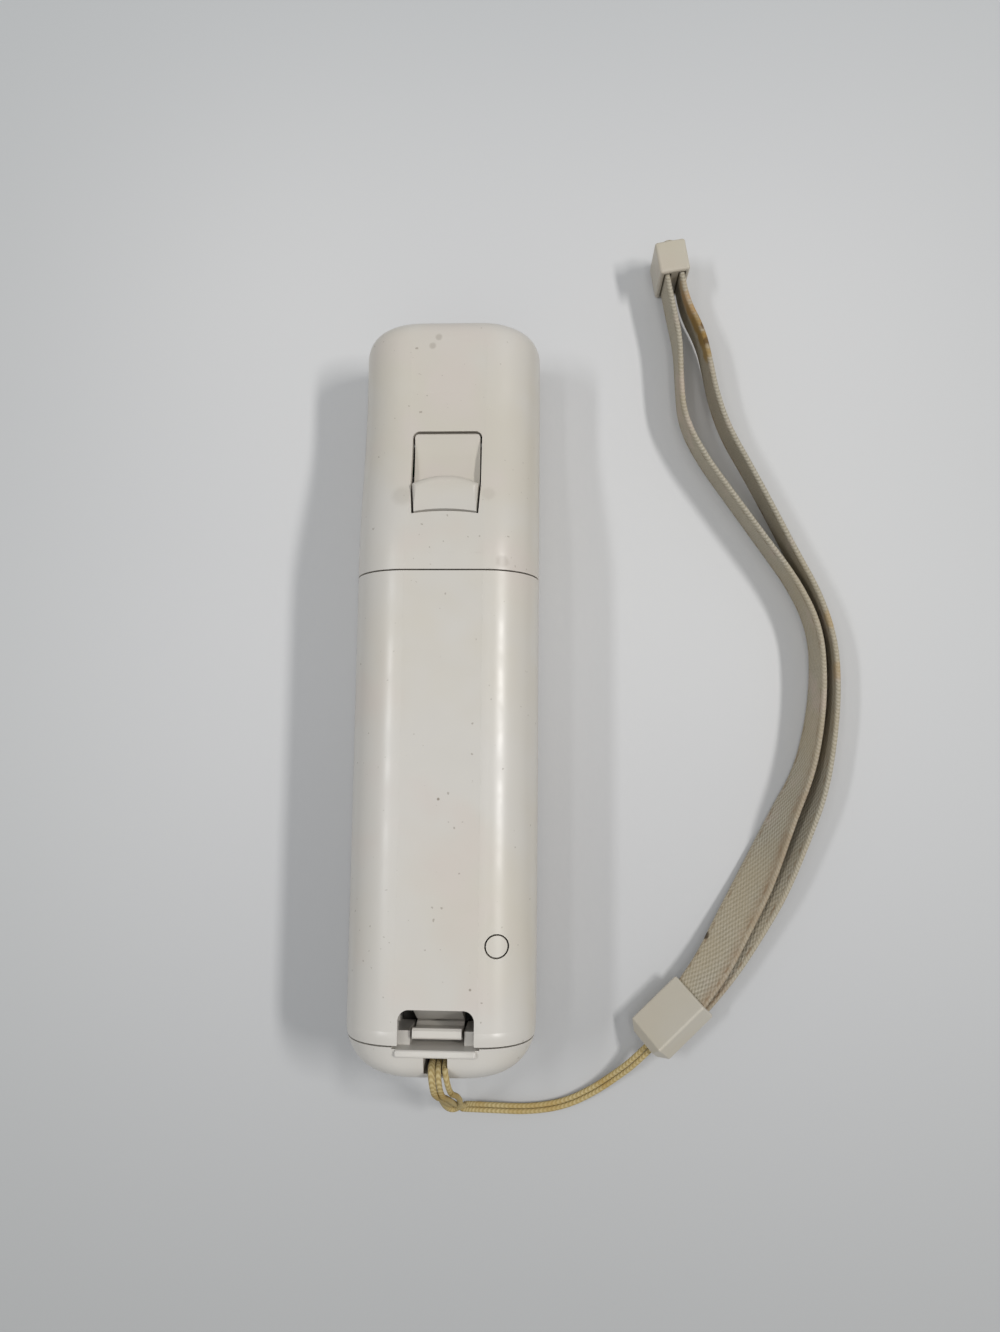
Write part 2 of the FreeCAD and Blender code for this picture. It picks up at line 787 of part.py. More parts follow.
def latch_swing():
    """The round space that the latch sweeps as the cover opens."""
    reach = cover_front_y - strap_bar_y[1]
    return rod(reach, (-big, cover_front_y, thickness), (1, 0, 0), 2 * big)


def bay_supports():
    """Bay end walls that stand up inside the cover."""
    tail = bay_tail_y - bay_end_thickness
    front = bay_front_y + bay_end_thickness
    w = bay_end_half_width
    return group([box(-w, w, tail, bay_tail_y, bay_floor_z, bay_end_z),
                  box(-w, w, bay_front_y, front, bay_floor_z, bay_end_z)])


def cover_hooks():
    """Two hooks at the front edge that catch under the housing."""
    hooks = []
    y = cover_front_y - cover_gap / 2
    low = thickness - hook_drop
    for sx in (-1, 1):
        x0, x1 = sorted((sx * hook_x[0], sx * hook_x[1]))
        hooks.append(box(x0, x1, y - hook_depth, y, low, thickness - wall / 2))
        hooks.append(box(x0, x1, y - hook_depth, y + hook_tip_depth, low, thickness - hook_tip_drop))
    return hooks


def latch_front_leg():
    """The leg of the latch tongue that is one piece with the cover."""
    y, z = tongue_bend
    t = tongue_thickness
    top = thickness - wall + 0.4
    outline = [(notch_front_y + 1.4, top), (notch_front_y + 0.2, top), (y + 0.7, z + 0.6),
               (y + 0.7, z - 0.6), (y + 0.7 + t, z - 0.6)]
    return prism_x(outline, -tongue_half_width, tongue_half_width)


def cover_notch():
    """The finger notch in the tail edge of the cover."""
    w = notch_half_width
    notch = box(-w, w, -half_length, notch_front_y, cover_side_z - 2, big)
    corners = [e for e in notch.Edges
               if abs(e.tangentAt(e.FirstParameter).z) > 0.9 and e.BoundBox.YMax > notch_front_y - 0.1
               and e.BoundBox.YMin > notch_front_y - 0.1]
    return notch.makeFillet(notch_corner, corners)


def cover_ribs():
    """Low ribs inside the cover that stop it from flexing."""
    half = rib_thickness / 2
    return [box(-rib_half_width, rib_half_width, y - half, y + half, rib_z, thickness - wall / 2)
            for y in rib_places]


def battery_cover():
    """Curved cover over the cells, with its notch, hooks and latch leg."""
    skin = shell.common(cover_zone(-cover_gap / 2))
    skin = skin.cut(cover_notch())
    skin = fuse([skin] + cover_ribs() + cover_hooks() + [latch_front_leg()])
    hole = rod(cap_hole_radius, (cap_xy[0], cap_xy[1], cap_flange_z), (0, 0, 1), thickness)
    return skin.cut(hole)


def cover_latch():
    """Sprung leg of the latch tongue, with the thumb tab on top and a nib."""
    y, z = tongue_bend
    t = tongue_thickness
    rear = y - 0.2
    back = rear - t
    top = tab_top_z
    low = top - tab_thickness
    outline = [(y + 0.5, z - 0.5), (y + 0.3, z + 0.6), (rear, z + 1.6), (rear, low),
               (tab_front_y, low), (tab_front_y, top - 0.4), (tab_front_y - 0.4, top),
               (tab_tail_y + 0.3, top), (tab_tail_y, top - 0.3), (tab_tail_y, low),
               (back, low - 0.6), (back, top - 2.6), (back - nib_depth, top - 3.0),
               (back - nib_depth, top - 3.6), (back, top - 4.6), (back, z + 0.8), (y - 0.6, z - 0.5)]
    return prism_x(outline, -tongue_half_width, tongue_half_width)


def sync_cap():
    """Round cap, flush with the cover, that reaches down to the pairing button."""
    x, y = cap_xy
    stem = rod(cap_radius, (x, y, cap_foot_z), (0, 0, 1), thickness).common(outer)
    flange = rod(cap_flange_radius, (x, y, cap_flange_z), (0, 0, 1), cap_flange_thickness)
    return fuse([stem, flange])


def sync_button():
    """Pairing button that stands through the deck under the cap."""
    x, y = cap_xy
    stem = rod(sync_radius, (x, y, sync_foot_z), (0, 0, 1), sync_top_z - sync_foot_z)
    flange = rod(sync_flange_radius, (x, y, sync_foot_z), (0, 0, 1), sync_flange_thickness)
    return fuse([stem, flange])


def sync_switch():
    """Push switch on the main board under the pairing button."""
    x, y = cap_xy
    w = switch_half_width
    case = box(x - w, x + w, y - w, y + w, board_top, board_top + switch_height)
    stem = rod(switch_stem_radius, (x, y, board_top + switch_height), (0, 0, 1), switch_stem_height)
    return fuse([case, stem])


def trigger_ramp():
    """The dished front of the trigger, from its front edge to behind the crest."""
    w = trigger_half_width
    front = trigger_front_y
    front_z = back_height(front) - trigger_front_drop
    bevel = trigger_front_bevel
    rear = trigger_rear_y - wall
    base_z = trigger_base_z
    foot = (trigger_crest_y - trigger_ramp_overlap, trigger_valley_z + trigger_ramp_foot_rise)
    dish = Part.Arc(Vec(-w, front - bevel, front_z),
                    Vec(-w, (front + trigger_crest_y) / 2, trigger_valley_z), Vec(-w, *foot)).toShape()
    corners = [foot, (rear, foot[1]), (rear, base_z), (front, base_z), (front, front_z - bevel),
               (front - bevel, front_z)]
    lines = [Part.makeLine(Vec(-w, *p), Vec(-w, *q)) for p, q in zip(corners, corners[1:])]
    return Part.Face(Part.Wire([dish] + lines)).extrude(Vec(2 * w, 0, 0))


def trigger_lip():
    """The raised rear of the trigger, with a bowed crest and rounded sides."""
    w = trigger_half_width
    rear = trigger_rear_y - wall
    base_z = trigger_base_z
    crest = trigger_crest_y
    front = crest + trigger_ramp_overlap
    top = trigger_crest_z
    corners = [(trigger_rear_y, trigger_rear_z), (rear, trigger_rear_z), (rear, base_z), (front, base_z),
               (front, top), (crest - trigger_top_run, top)]
    lines = [Part.makeLine(Vec(-w, *p), Vec(-w, *q)) for p, q in zip(corners, corners[1:])]
    run, drop = trigger_back_middle
    back = Part.Arc(Vec(-w, *corners[-1]), Vec(-w, crest - run, top - drop), Vec(-w, *corners[0])).toShape()
    lip = Part.Face(Part.Wire(lines + [back])).extrude(Vec(2 * w, 0, 0))
    bow = rod(trigger_crest_radius, (0, crest - trigger_crest_radius, 0), (0, 0, 1), top)
    rim = [e for e in bow.Edges if e.BoundBox.ZMin > top - 0.01]
    plan = trigger_plan(0.0, base_z - 1.0, top)
    sides = [e for e in plan.Edges if e.BoundBox.ZMin > top - 0.01 and e.BoundBox.YLength > 3.0]
    lip = lip.common(bow.makeFillet(trigger_crest_round, rim))
    return lip.common(plan.makeFillet(trigger_side_round, sides))


def trigger():
    """Rocking trigger: a dished ramp up to a crescent lip, and a hub for its pin."""
    w = trigger_half_width
    base_z = trigger_base_z
    hub = rod(trigger_hub_radius, (-w, trigger_pin_y, trigger_pin_z), (1, 0, 0), 2 * w)
    post_w = trigger_post_half_width
    foot_z = shelf_top + trigger_board_thickness + trigger_dome_height + trigger_post_gap
    post = box(-post_w, post_w, trigger_dome_y - post_w, trigger_dome_y + post_w, foot_z, base_z + 0.5)
    body = fuse([trigger_ramp(), trigger_lip(), hub, post])
    body = body.common(trigger_plan(0.0, shelf_top, big)).common(trigger_swing(0.0))
    bore = trigger_pin_radius + trigger_pin_gap
    return body.cut(rod(bore, (-half_width, trigger_pin_y, trigger_pin_z), (1, 0, 0), width))


def trigger_pin():
    """Steel pin through the two ears and the trigger hub."""
    return rod(trigger_pin_radius, (-pin_reach, trigger_pin_y, trigger_pin_z), (1, 0, 0), 2 * pin_reach)


def trigger_board():
    """Small board on the shelf that carries the trigger contact."""
    w = trigger_board_half_width
    rear = trigger_rear_y - trigger_board_ends[0]
    front = shelf_front_y - trigger_board_ends[1]
    return box(-w, w, rear, front, shelf_top, shelf_top + trigger_board_thickness)


def trigger_dome():
    """Rubber dome under the trigger post."""
    z = shelf_top + trigger_board_thickness
    place = (0, trigger_dome_y, z)
    foot = rod(trigger_dome_foot_radius, place, (0, 0, 1), trigger_dome_foot_height)
    low, high = trigger_dome_radii
    dome = Part.makeCone(low, high, trigger_dome_height, Vec(*place), Vec(0, 0, 1))
    return fuse([foot, dome])


def round_key(x, y, radius, proud):
    """A round key with a domed tip and a flange behind the face."""
    back = face_z + wall + flange_gap + flange_thickness
    tip = face_z - proud
    stem = rod(radius, (x, y, tip), (0, 0, 1), back - tip)
    rim = [e for e in stem.Edges if e.BoundBox.ZMax < tip + 0.01]
    stem = stem.makeFillet(min(key_tip_round, proud), rim)
    flange = rod(radius + flange_overhang, (x, y, back - flange_thickness), (0, 0, 1), flange_thickness)
    return fuse([stem, flange])


def direction_pad():
    """Cross-shaped direction pad with a round dish in the middle."""
    low = face_z + wall + cross_flange_gap
    tip = face_z - key_proud
    pad = cross_outline(cross_span, cross_arm, tip, low + flange_thickness)
    rim = [e for e in pad.Edges if e.BoundBox.ZMax < tip + 0.01]
    pad = pad.makeFillet(cross_rim_round, rim)
    flange = rod(cross_span / 2 + cross_flange_overhang, (0, cross_y, low), (0, 0, 1), flange_thickness)
    dish = Part.makeSphere(cross_dish_radius, Vec(0, cross_y, tip + cross_dish_depth - cross_dish_radius))
    return fuse([pad, flange]).cut(dish)


def direction_dome():
    """Rubber pad between the direction pad and the board."""
    z = face_z + wall + cross_flange_gap + flange_thickness + cross_pad_gap
    pad = rod(cross_pad_radius, (0, cross_y, z), (0, 0, 1), cross_pad_thickness)
    stud = rod(cross_stud_radius, (0, cross_y, z), (0, 0, 1), cross_stud_height)
    return fuse([pad, stud])


def key_dome(x, y):
    """Rubber dome on the board under one key."""
    foot = rod(dome_foot_radius, (x, y, board_z - dome_foot_height), (0, 0, 1), dome_foot_height)
    tip, base = dome_radii
    dome = Part.makeCone(tip, base, dome_height, Vec(x, y, board_z - dome_height), Vec(0, 0, 1))
    return fuse([foot, dome])


def main_board():
    """Main circuit board, notched round the screw posts."""
    plate = rounded_plate(-board_half_width, board_half_width, board_tail_y, board_front_y,
                          board_z, board_top, board_corner)
    tools = [rod(boss_radius + board_post_gap, (x, y, 0), (0, 0, 1), thickness) for x, y in screw_places()]
    return cut(plate, tools)


def board_chips():
    """Chips on the back of the main board."""
    return group([box(x - a / 2, x + a / 2, y - b / 2, y + b / 2, board_top, board_top + chip_height)
                  for x, y, a, b in chips])


def radio_module():
    """Screened radio module on the back of the main board."""
    y0, y1 = (tail_y + reach for reach in radio_reach)
    return rounded_plate(radio_x[0], radio_x[1], y0, y1, board_top, board_top + radio_height, radio_corner)


def camera_module():
    """Infrared camera block behind the sensor window."""
    w, d, h = camera_size
    return box(-w / 2, w / 2, camera_front_y - d, camera_front_y, board_top, board_top + h)


def camera_lens():
    """Lens barrel on the front of the camera block."""
    z = board_top + camera_size[2] / 2
    barrel = rod(lens_radius, (0, camera_front_y, z), (0, 1, 0), lens_length)
    cup_y = camera_front_y + lens_length - lens_cup_depth + lens_cup_radius
    return barrel.cut(Part.makeSphere(lens_cup_radius, Vec(0, cup_y, z)))


def sensor_window():
    """Dark window let into the nose, with a rim behind the shells."""
    w = window_half_width - window_gap
    z0 = window_z[0] + window_gap
    z1 = window_z[1] - window_gap
    rim_y = nose_y - wall - window_gap - window_rim_thickness
    pane = box(-w, w, rim_y, nose_y, z0, z1)
    side = window_rim_width
    rim = box(-w - side, w + side, rim_y, rim_y + window_rim_thickness, z0 - side, z1 + side)
    return fuse([pane, rim])


def speaker():
    """Round speaker behind its holes."""
    place = (0, speaker_y, face_z + wall + speaker_gap)
    frame = rod(speaker_radius, place, (0, 0, 1), speaker_frame_thickness)
    magnet = rod(speaker_magnet_radius, place, (0, 0, 1), speaker_thickness)
    rim, middle = speaker_cone_radii
    cone = Part.makeCone(rim, middle, speaker_cone_depth, Vec(*place), Vec(0, 0, 1))
    return fuse([frame, magnet]).cut(cone)


def light_guide():
    """Clear bar with one window for each indicator light."""
    w, d = light_size
    half_w = w / 2 - light_gap
    half_d = d / 2 - light_gap
    x = light_places()[-1] + w
    low = face_z + wall + light_gap
    bar = box(-x, x, light_y - light_bar_half_depth, light_y + light_bar_half_depth,
              low, low + light_bar_thickness)
    tips = [box(k - half_w, k + half_w, light_y - half_d, light_y + half_d, face_z + light_gap,
                low + light_bar_thickness / 2) for k in light_places()]
    return fuse([bar] + tips)


def indicator_lights():
    """Four small lamps on the board behind the light guide."""
    w, d, h = lamp_size
    return group([box(x - w / 2, x + w / 2, light_y - d / 2, light_y + d / 2, board_z - h, board_z)
                  for x in light_places()])


def cell_places():
    """Centre and direction of each cell: they lie head to tail."""
    x = cell_gap / 2 + cell_radius
    z = bay_floor_top + cell_floor_gap + cell_radius
    return [(-x, z, 1), (x, z, -1)]


def cell_ends(direction):
    """Where a cell starts and stops along Y, with room for its spring."""
    margin = contact_thickness + cell_nub_play
    if direction > 0:
        nub_tip = bay_front_y - margin
        return nub_tip - cell_length, nub_tip
    nub_tip = bay_tail_y + margin
    return nub_tip + cell_length, nub_tip


def cell(index):
    """One round cell with its raised contact."""
    x, z, direction = cell_places()[index]
    flat_end, nub_tip = cell_ends(direction)
    along = (0, direction, 0)
    can = rod(cell_radius, (x, flat_end, z), along, cell_length - cell_nub_length)
    rims = [e for e in can.Edges if e.BoundBox.YLength < 0.01]
    can = can.makeFillet(cell_rim_round, rims)
    sunk = cell_nub_length + cell_rim_round
    nub = rod(cell_nub_radius, (x, nub_tip - direction * sunk, z), along, sunk)
    return fuse([can, nub])


def battery_contacts():
    """Four contact plates on the bay's end walls."""
    plates = []
    h = contact_size / 2
    for x, z, direction in cell_places():
        for y in (bay_tail_y, bay_front_y - contact_thickness):
            plates.append(box(x - h, x + h, y, y + contact_thickness, z - h, z + h))
    return group(plates)


def coil(radius, wire_radius, turns, reach):
    """A round-wire coil about Z, lofted through upright sections of its wire."""
    wires = []
    for k in range(turns * spring_steps + 1):
        share = k / (turns * spring_steps)
        turn = 2 * math.pi * turns * share
        outward = Vec(math.cos(turn), math.sin(turn), 0)
        centre = outward * radius + Vec(0, 0, reach * share)
        corners = []
        for j in range(spring_sides):
            a = 2 * math.pi * j / spring_sides
            up = Vec(0, 0, wire_radius * math.sin(a))
            corners.append(centre + outward * (wire_radius * math.cos(a)) + up)
        wires.append(Part.makePolygon(corners + corners[:1]))
    return Part.makeLoft(wires, True, True)


def battery_springs():
    """A coil spring at the flat end of each cell."""
    springs = []
    for x, z, direction in cell_places():
        flat_end = cell_ends(direction)[0]
        wall_y = bay_tail_y + contact_thickness if direction > 0 else bay_front_y - contact_thickness
        y0, y1 = sorted((flat_end, wall_y))
        reach = y1 - y0 - 2 * spring_wire_radius - 2 * spring_play
        spring = coil(spring_radius, spring_wire_radius, spring_turns, reach)
        spring.rotate(Vec(0, 0, 0), Vec(1, 0, 0), -90)
        spring.translate(Vec(x, y0 + spring_wire_radius + spring_play, z))
        springs.append(spring)
    return group(springs)


def rumble_motor():
    """Motor can held between the bay and the shelf, with a bush for its shaft."""
    can = rod(motor_radius, (0, motor_tail_y, motor_z), (0, 1, 0), motor_length)
    bush = rod(motor_bush_radius, (0, motor_front_y, motor_z), (0, 1, 0), motor_bush_length)
    bore = rod(motor_shaft_radius + motor_shaft_gap, (0, motor_front_y - motor_bore_depth, motor_z),
               (0, 1, 0), motor_length)
    return fuse([can, bush]).cut(bore)


def rumble_weight():
    """Off-centre weight on the motor shaft."""
    start = motor_front_y + motor_bush_length + weight_play
    disc = rod(weight_radius, (0, start, motor_z), (0, 1, 0), weight_length)
    off = box(-half_width, half_width, start - 1.0, start + weight_length + 1.0,
              motor_z + weight_cut_height, motor_z + 2 * motor_radius)
    hub = rod(weight_hub_radius, (0, start, motor_z), (0, 1, 0), weight_length)
    shaft_start = motor_front_y - motor_bore_depth + 1.0
    shaft = rod(motor_shaft_radius, (0, shaft_start, motor_z), (0, 1, 0), start + weight_length - shaft_start)
    return fuse([disc.cut(off), hub, shaft])


def extension_socket():
    """Socket body in the tail, with a contact tongue inside."""
    w = socket_half_width
    z0, z1 = socket_z
    y0 = tail_y + socket_inset
    y1 = y0 + socket_depth
    t = socket_wall
    case = box(-w, w, y0, y1, z0, z1)
    mouth = box(-w + t, w - t, y0 - t, y1 - t, z0 + t, z1 - t)
    middle = (z0 + z1) / 2
    h = socket_tongue_thickness / 2
    tongue = box(-socket_tongue_half_width, socket_tongue_half_width, y0 + socket_tongue_inset, y1 - t / 2,
                 middle - h, middle + h)
    return fuse([case.cut(mouth), tongue])


def socket_contacts():
    """Contact strips on the socket tongue."""
    z = sum(socket_z) / 2 + socket_tongue_thickness / 2
    w, d, h = socket_pin_size
    y0 = tail_y + socket_pin_reach
    x0 = -(socket_pin_count - 1) / 2 * socket_pin_pitch
    places = [x0 + k * socket_pin_pitch for k in range(socket_pin_count)]
    return group([box(x - w / 2, x + w / 2, y0, y0 + d, z, z + h) for x in places])


def case_screws():
    """Four case screws, driven from the decks into the posts."""
    screws = []
    half_l = screw_slot_length / 2
    half_w = screw_slot_width / 2
    head_top = deck_top + screw_head_height
    slot_z = head_top - screw_slot_depth
    for x, y in screw_places():
        shank_length = deck_top - screw_tip_z + screw_hole_gap
        shank = rod(screw_shank_radius, (x, y, screw_tip_z), (0, 0, 1), shank_length)
        head = rod(screw_head_radius, (x, y, deck_top), (0, 0, 1), screw_head_height)
        slot = box(x - half_l, x + half_l, y - half_w, y + half_w, slot_z, head_top + 1.0)
        cross = box(x - half_w, x + half_w, y - half_l, y + half_l, slot_z, head_top + 1.0)
        screws.append(cut(fuse([shank, head]), [slot, cross]))
    return group(screws)


# Wrist strap

def tube(points, diameter):
    """A round cord: straight runs joined by arcs, each as wide as its shorter run lets it be."""
    places = [Vec(*p) for p in points]
    edges = []
    radii = []
    start = places[0]
    for before, here, after in zip(places, places[1:], places[2:]):
        into = here - before
        out = after - here
        shorter = min(into.Length, out.Length)
        turn = into.getAngle(out)
        reach = bend_share * shorter
        radii.append(reach / math.tan(turn / 2))
        into.normalize()
        out.normalize()
        first = here - into * reach
        last = here + out * reach
        bisector = out - into
        bisector.normalize()
        centre_gap = radii[-1] / math.cos(turn / 2)
        middle = here + bisector * (centre_gap - radii[-1])
        edges.append(Part.LineSegment(start, first).toShape())
        edges.append(Part.Arc(first, middle, last).toShape())
        start = last
    edges.append(Part.LineSegment(start, places[-1]).toShape())
    path = Part.Wire(edges)
    direction = places[1] - places[0]
    circle = Part.Wire([Part.makeCircle(diameter / 2, places[0], direction)])
    solid = path.makePipeShell([circle], True, False)
    ideal = math.pi * diameter ** 2 / 4 * path.Length
    print("cord length %.1f, volume %.1f of %.1f" % (path.Length, solid.Volume, ideal))
    print("bend radii " + " ".join("%.1f" % r for r in radii))
    return solid


def quadratic_curve(points, steps):
    """Points on a quadratic B-spline with the given control points and clamped ends."""
    spans = len(points) - 2
    curve = []
    for k in range(spans):
        a, b, c = points[k], points[k + 1], points[k + 2]
        start = a if k == 0 else (a + b) * 0.5
        end = c if k == spans - 1 else (b + c) * 0.5
        last = steps if k == spans - 1 else steps - 1
        for j in range(last + 1):
            t = j / steps
            curve.append(start * (1 - t) ** 2 + b * (2 * t * (1 - t)) + end * t ** 2)
    return curve


def straight_end(side):
    """The last three route points of one leg, straight through the slider."""
    angle = math.radians(strap_end_heading)
    ahead = (math.cos(angle), math.sin(angle))
    across = (ahead[1] * side * leg_pitch / 2, -ahead[0] * side * leg_pitch / 2)
    return [(strap_end[0] + across[0] - ahead[0] * back, strap_end[1] + across[1] - ahead[1] * back,
             strap_end_z, 0) for back in straight_run]


# Each leg of the webbing: x, y from the tail end, height of its middle, and lean.
# A lean of 0 stands on edge, and 90 lies flat with its upper face to the sky.
inner_leg_route = [
    (48.8, 10.9, 6.4, 52), (53.4, 16.4, 5.9, 53), (58.6, 25.8, 4.6, 50), (63.4, 34.6, 4.3, 43),
    (69.2, 47.8, 4.6, 24), (73.8, 57.2, 4.9, 13), (76.2, 67.0, 4.9, 8), (77.3, 77.0, 4.9, 4),
    (76.9, 87.2, 4.9, 1), (72.9, 96.7, 4.9, -1), (66.0, 106.7, 4.9, -2), (59.5, 116.2, 4.9, -3),
    (53.4, 125.1, 4.9, -3), (49.3, 133.7, 4.9, -2), (48.7, 142.6, 5.2, -1), (48.5, 150.6, 5.6, 0),
] + straight_end(-1)
outer_leg_route = [
    (49.8, 9.9, 4.5, 52), (54.8, 15.4, 4.1, 53), (60.4, 23.4, 3.7, 50), (66.6, 33.4, 4.2, 40),
    (72.2, 44.6, 4.6, 25), (76.4, 53.4, 4.8, 13), (78.8, 64.2, 4.9, 7), (80.1, 74.4, 4.9, 3),
    (80.0, 84.4, 4.9, 0), (77.2, 94.4, 4.9, -2), (72.4, 103.6, 4.9, -2), (68.0, 112.8, 4.9, -2),
    (63.2, 122.4, 4.9, -2), (58.8, 130.6, 4.9, -1), (56.2, 138.4, 5.1, 0), (54.9, 145.4, 5.4, 0),
    (53.4, 152.2, 5.7, 0),
] + straight_end(1)


def webbing(route):
    """Flat webbing that leans as it runs: a ruled loft through thin rectangles.

    It is narrowed where it runs into the block.
    """
    line = quadratic_curve([Vec(x, tail_y + y, z) for x, y, z, lean in route], 3)
    leans = quadratic_curve([Vec(lean, 0, 0) for x, y, z, lean in route], 3)
    wires = []
    for k, place in enumerate(line):
        ahead = line[min(k + 1, len(line) - 1)] - line[max(k - 1, 0)]
        ahead.normalize()
        side = ahead.cross(Vec(0, 0, 1))
        side.normalize()
        up = side.cross(ahead)
        lean = math.radians(leans[k].x)
        across = up * math.cos(lean) + side * math.sin(lean)
        through = ahead.cross(across)
        narrowing = max(0.0, 1 - k / webbing_mouth_steps)
        w = across * ((webbing_width - (webbing_width - webbing_mouth_width) * narrowing) / 2)
        t = through * (webbing_thickness / 2)
        corners = [place + w + t, place - w + t, place - w - t, place + w - t]
        wires.append(Part.makePolygon(corners + corners[:1]))
    return Part.makeLoft(wires, True, True)


def in_plan(shape, heading, place):
    """A shape turned so that its +Y runs along a heading in plan, then moved to a place."""
    shape.rotate(Vec(0, 0, 0), Vec(0, 0, 1), heading - 90)
    x, y, z = place
    shape.translate(Vec(x, tail_y + y, z))
    return shape


def outer_leg():
    """The outer leg with the fold at its end, where the webbing turns back."""
    low = -webbing_width / 2
    fold = rod(leg_pitch / 2 + webbing_thickness / 2, (0, 0, low), (0, 0, 1), webbing_width)
    fold = fold.cut(rod(leg_pitch / 2 - webbing_thickness / 2, (0, 0, low), (0, 0, 1), webbing_width))
    fold = fold.common(box(-leg_pitch, leg_pitch, 0, leg_pitch, low, -low))
    fold = in_plan(fold, strap_end_heading, (strap_end[0], strap_end[1], strap_end_z))
    return fuse([webbing(outer_leg_route), fold])


def strap_block():
    """Block moulded round the string and the webbing, with a chamfered string end."""
    block = Part.makeBox(block_width, block_length, block_height,
                         Vec(-block_width / 2, 0, -block_height / 2))
    ends = [e for e in block.Edges if e.BoundBox.YMax < 0.01]
    block = block.makeChamfer(block_chamfer, ends)
    block = block.makeFillet(block_round, block.Edges)
    block.rotate(Vec(0, 0, 0), Vec(0, 1, 0), -block_roll)
    roll = math.radians(block_roll)
    lift = block_width / 2 * math.sin(roll) + block_height / 2 * math.cos(roll)
    block = in_plan(block, block_heading, (block_start[0], block_start[1], lift))
    return cut(block, [tube(string_route, string_diameter),
                       webbing(inner_leg_route), webbing(outer_leg_route)])


def strap_slider():
    """Sliding keeper: a sleeve round both legs, with a divider between them.

    The divider stops short of the outer end, so that the fold tucks in.
    """
    fold_reach = leg_pitch / 2 + webbing_thickness / 2
    top = fold_reach - slider_proud_fold
    foot = top - slider_length
    slot_width = webbing_thickness + 2 * slider_fit
    hole_width = leg_pitch + slot_width
    divider = leg_pitch - slot_width
    hole_height = webbing_width + 2 * slider_fit
    low = strap_end_z - hole_height / 2
    sleeve = box(-slider_width / 2, slider_width / 2, foot, top, 0, slider_height)
    sleeve = sleeve.makeFillet(slider_round, sleeve.Edges)
    sleeve = sleeve.cut(box(-hole_width / 2, hole_width / 2, foot - 1, top + 1, low, low + hole_height))
    web = box(-divider / 2, divider / 2, foot, top - slider_divider_drop, low - 0.2, low + hole_height + 0.2)
    return in_plan(fuse([sleeve, web]), strap_end_heading, (strap_end[0], strap_end[1], 0))


nodes = {
    "front_housing": front_housing(),
    "rear_housing": rear_housing(),
    "battery_cover": battery_cover(),
    "cover_latch": cover_latch(),
    "sync_cap": sync_cap(),
    "sync_button": sync_button(),
    "sync_switch": sync_switch(),
    "trigger": trigger(),
    "trigger_pin": trigger_pin(),
    "trigger_board": trigger_board(),
    "trigger_dome": trigger_dome(),
    "direction_pad": direction_pad(),
    "direction_dome": direction_dome(),
    "key_domes": group([key_dome(x, y) for name, x, y, radius, proud in round_keys()]),
    "main_board": main_board(),
    "board_chips": board_chips(),
    "radio_module": radio_module(),
    "camera_module": camera_module(),
    "camera_lens": camera_lens(),
    "sensor_window": sensor_window(),
    "speaker": speaker(),
    "light_guide": light_guide(),
    "indicator_lights": indicator_lights(),
    "battery_left": cell(0),
    "battery_right": cell(1),
    "battery_contacts": battery_contacts(),
    "battery_springs": battery_springs(),
    "rumble_motor": rumble_motor(),
    "rumble_weight": rumble_weight(),
    "extension_socket": extension_socket(),
    "socket_contacts": socket_contacts(),
    "case_screws": case_screws(),
    "strap_string": tube(string_route, string_diameter),
    "strap_block": strap_block(),
    "strap_webbing_inner": webbing(inner_leg_route),
    "strap_webbing_outer": outer_leg(),
    "strap_slider": strap_slider(),
}
for name, x, y, radius, proud in round_keys():
    nodes[name] = round_key(x, y, radius, proud)

os.makedirs("parts", exist_ok=True)
for name, shape in nodes.items():
    shape.exportStep("parts/" + name + ".step")
    print(name, len(shape.Solids), shape.isValid(), round(shape.Volume, 1))
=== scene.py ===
import json
import math

import bmesh
import bpy
import numpy as np
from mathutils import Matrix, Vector


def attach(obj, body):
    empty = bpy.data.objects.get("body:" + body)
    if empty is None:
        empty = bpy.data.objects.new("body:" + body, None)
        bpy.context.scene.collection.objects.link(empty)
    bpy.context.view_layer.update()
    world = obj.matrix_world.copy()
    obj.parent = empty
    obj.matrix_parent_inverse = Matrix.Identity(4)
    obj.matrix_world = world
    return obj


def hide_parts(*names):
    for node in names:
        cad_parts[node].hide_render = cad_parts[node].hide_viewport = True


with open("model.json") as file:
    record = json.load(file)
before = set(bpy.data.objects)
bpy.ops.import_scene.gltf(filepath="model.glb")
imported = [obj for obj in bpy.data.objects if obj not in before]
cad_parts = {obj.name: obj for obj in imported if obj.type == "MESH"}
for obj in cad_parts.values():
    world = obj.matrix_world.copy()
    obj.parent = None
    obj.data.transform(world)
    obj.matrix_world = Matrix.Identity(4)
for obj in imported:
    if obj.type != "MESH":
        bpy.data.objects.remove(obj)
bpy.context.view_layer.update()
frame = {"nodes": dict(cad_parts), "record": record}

# The dressed game controller: materials for the CAD nodes, and finer pieces for the strap.
# All lengths are metres in the CAD frame.

mm = 0.001

# Camera and light, as in the photograph
camera_place = (0.0199, -0.0201, 0.2181)
camera_turn = (6.79, 2.63, 0.58)
camera_lens = 27.03
sensor_width = 36.0
clip_range = (0.005, 20.0)
sky_tint = (0.95, 0.975, 1.0, 1.0)
sky_strength = 0.33
background_tone = (198, 200, 200)
# Lamps hang this high, and are this long and wide, in metres
lamp_height = 1.05
lamp_size = (0.4, 0.09)
strip_height = 0.9
strip_size = (0.5, 0.06)
floor_size = 6.0
floor_pale = (208, 208, 208)
floor_cool = (205, 205, 206)
# Distances from the origin between which the floor melts into the background
floor_melt = (0.22, 0.55)
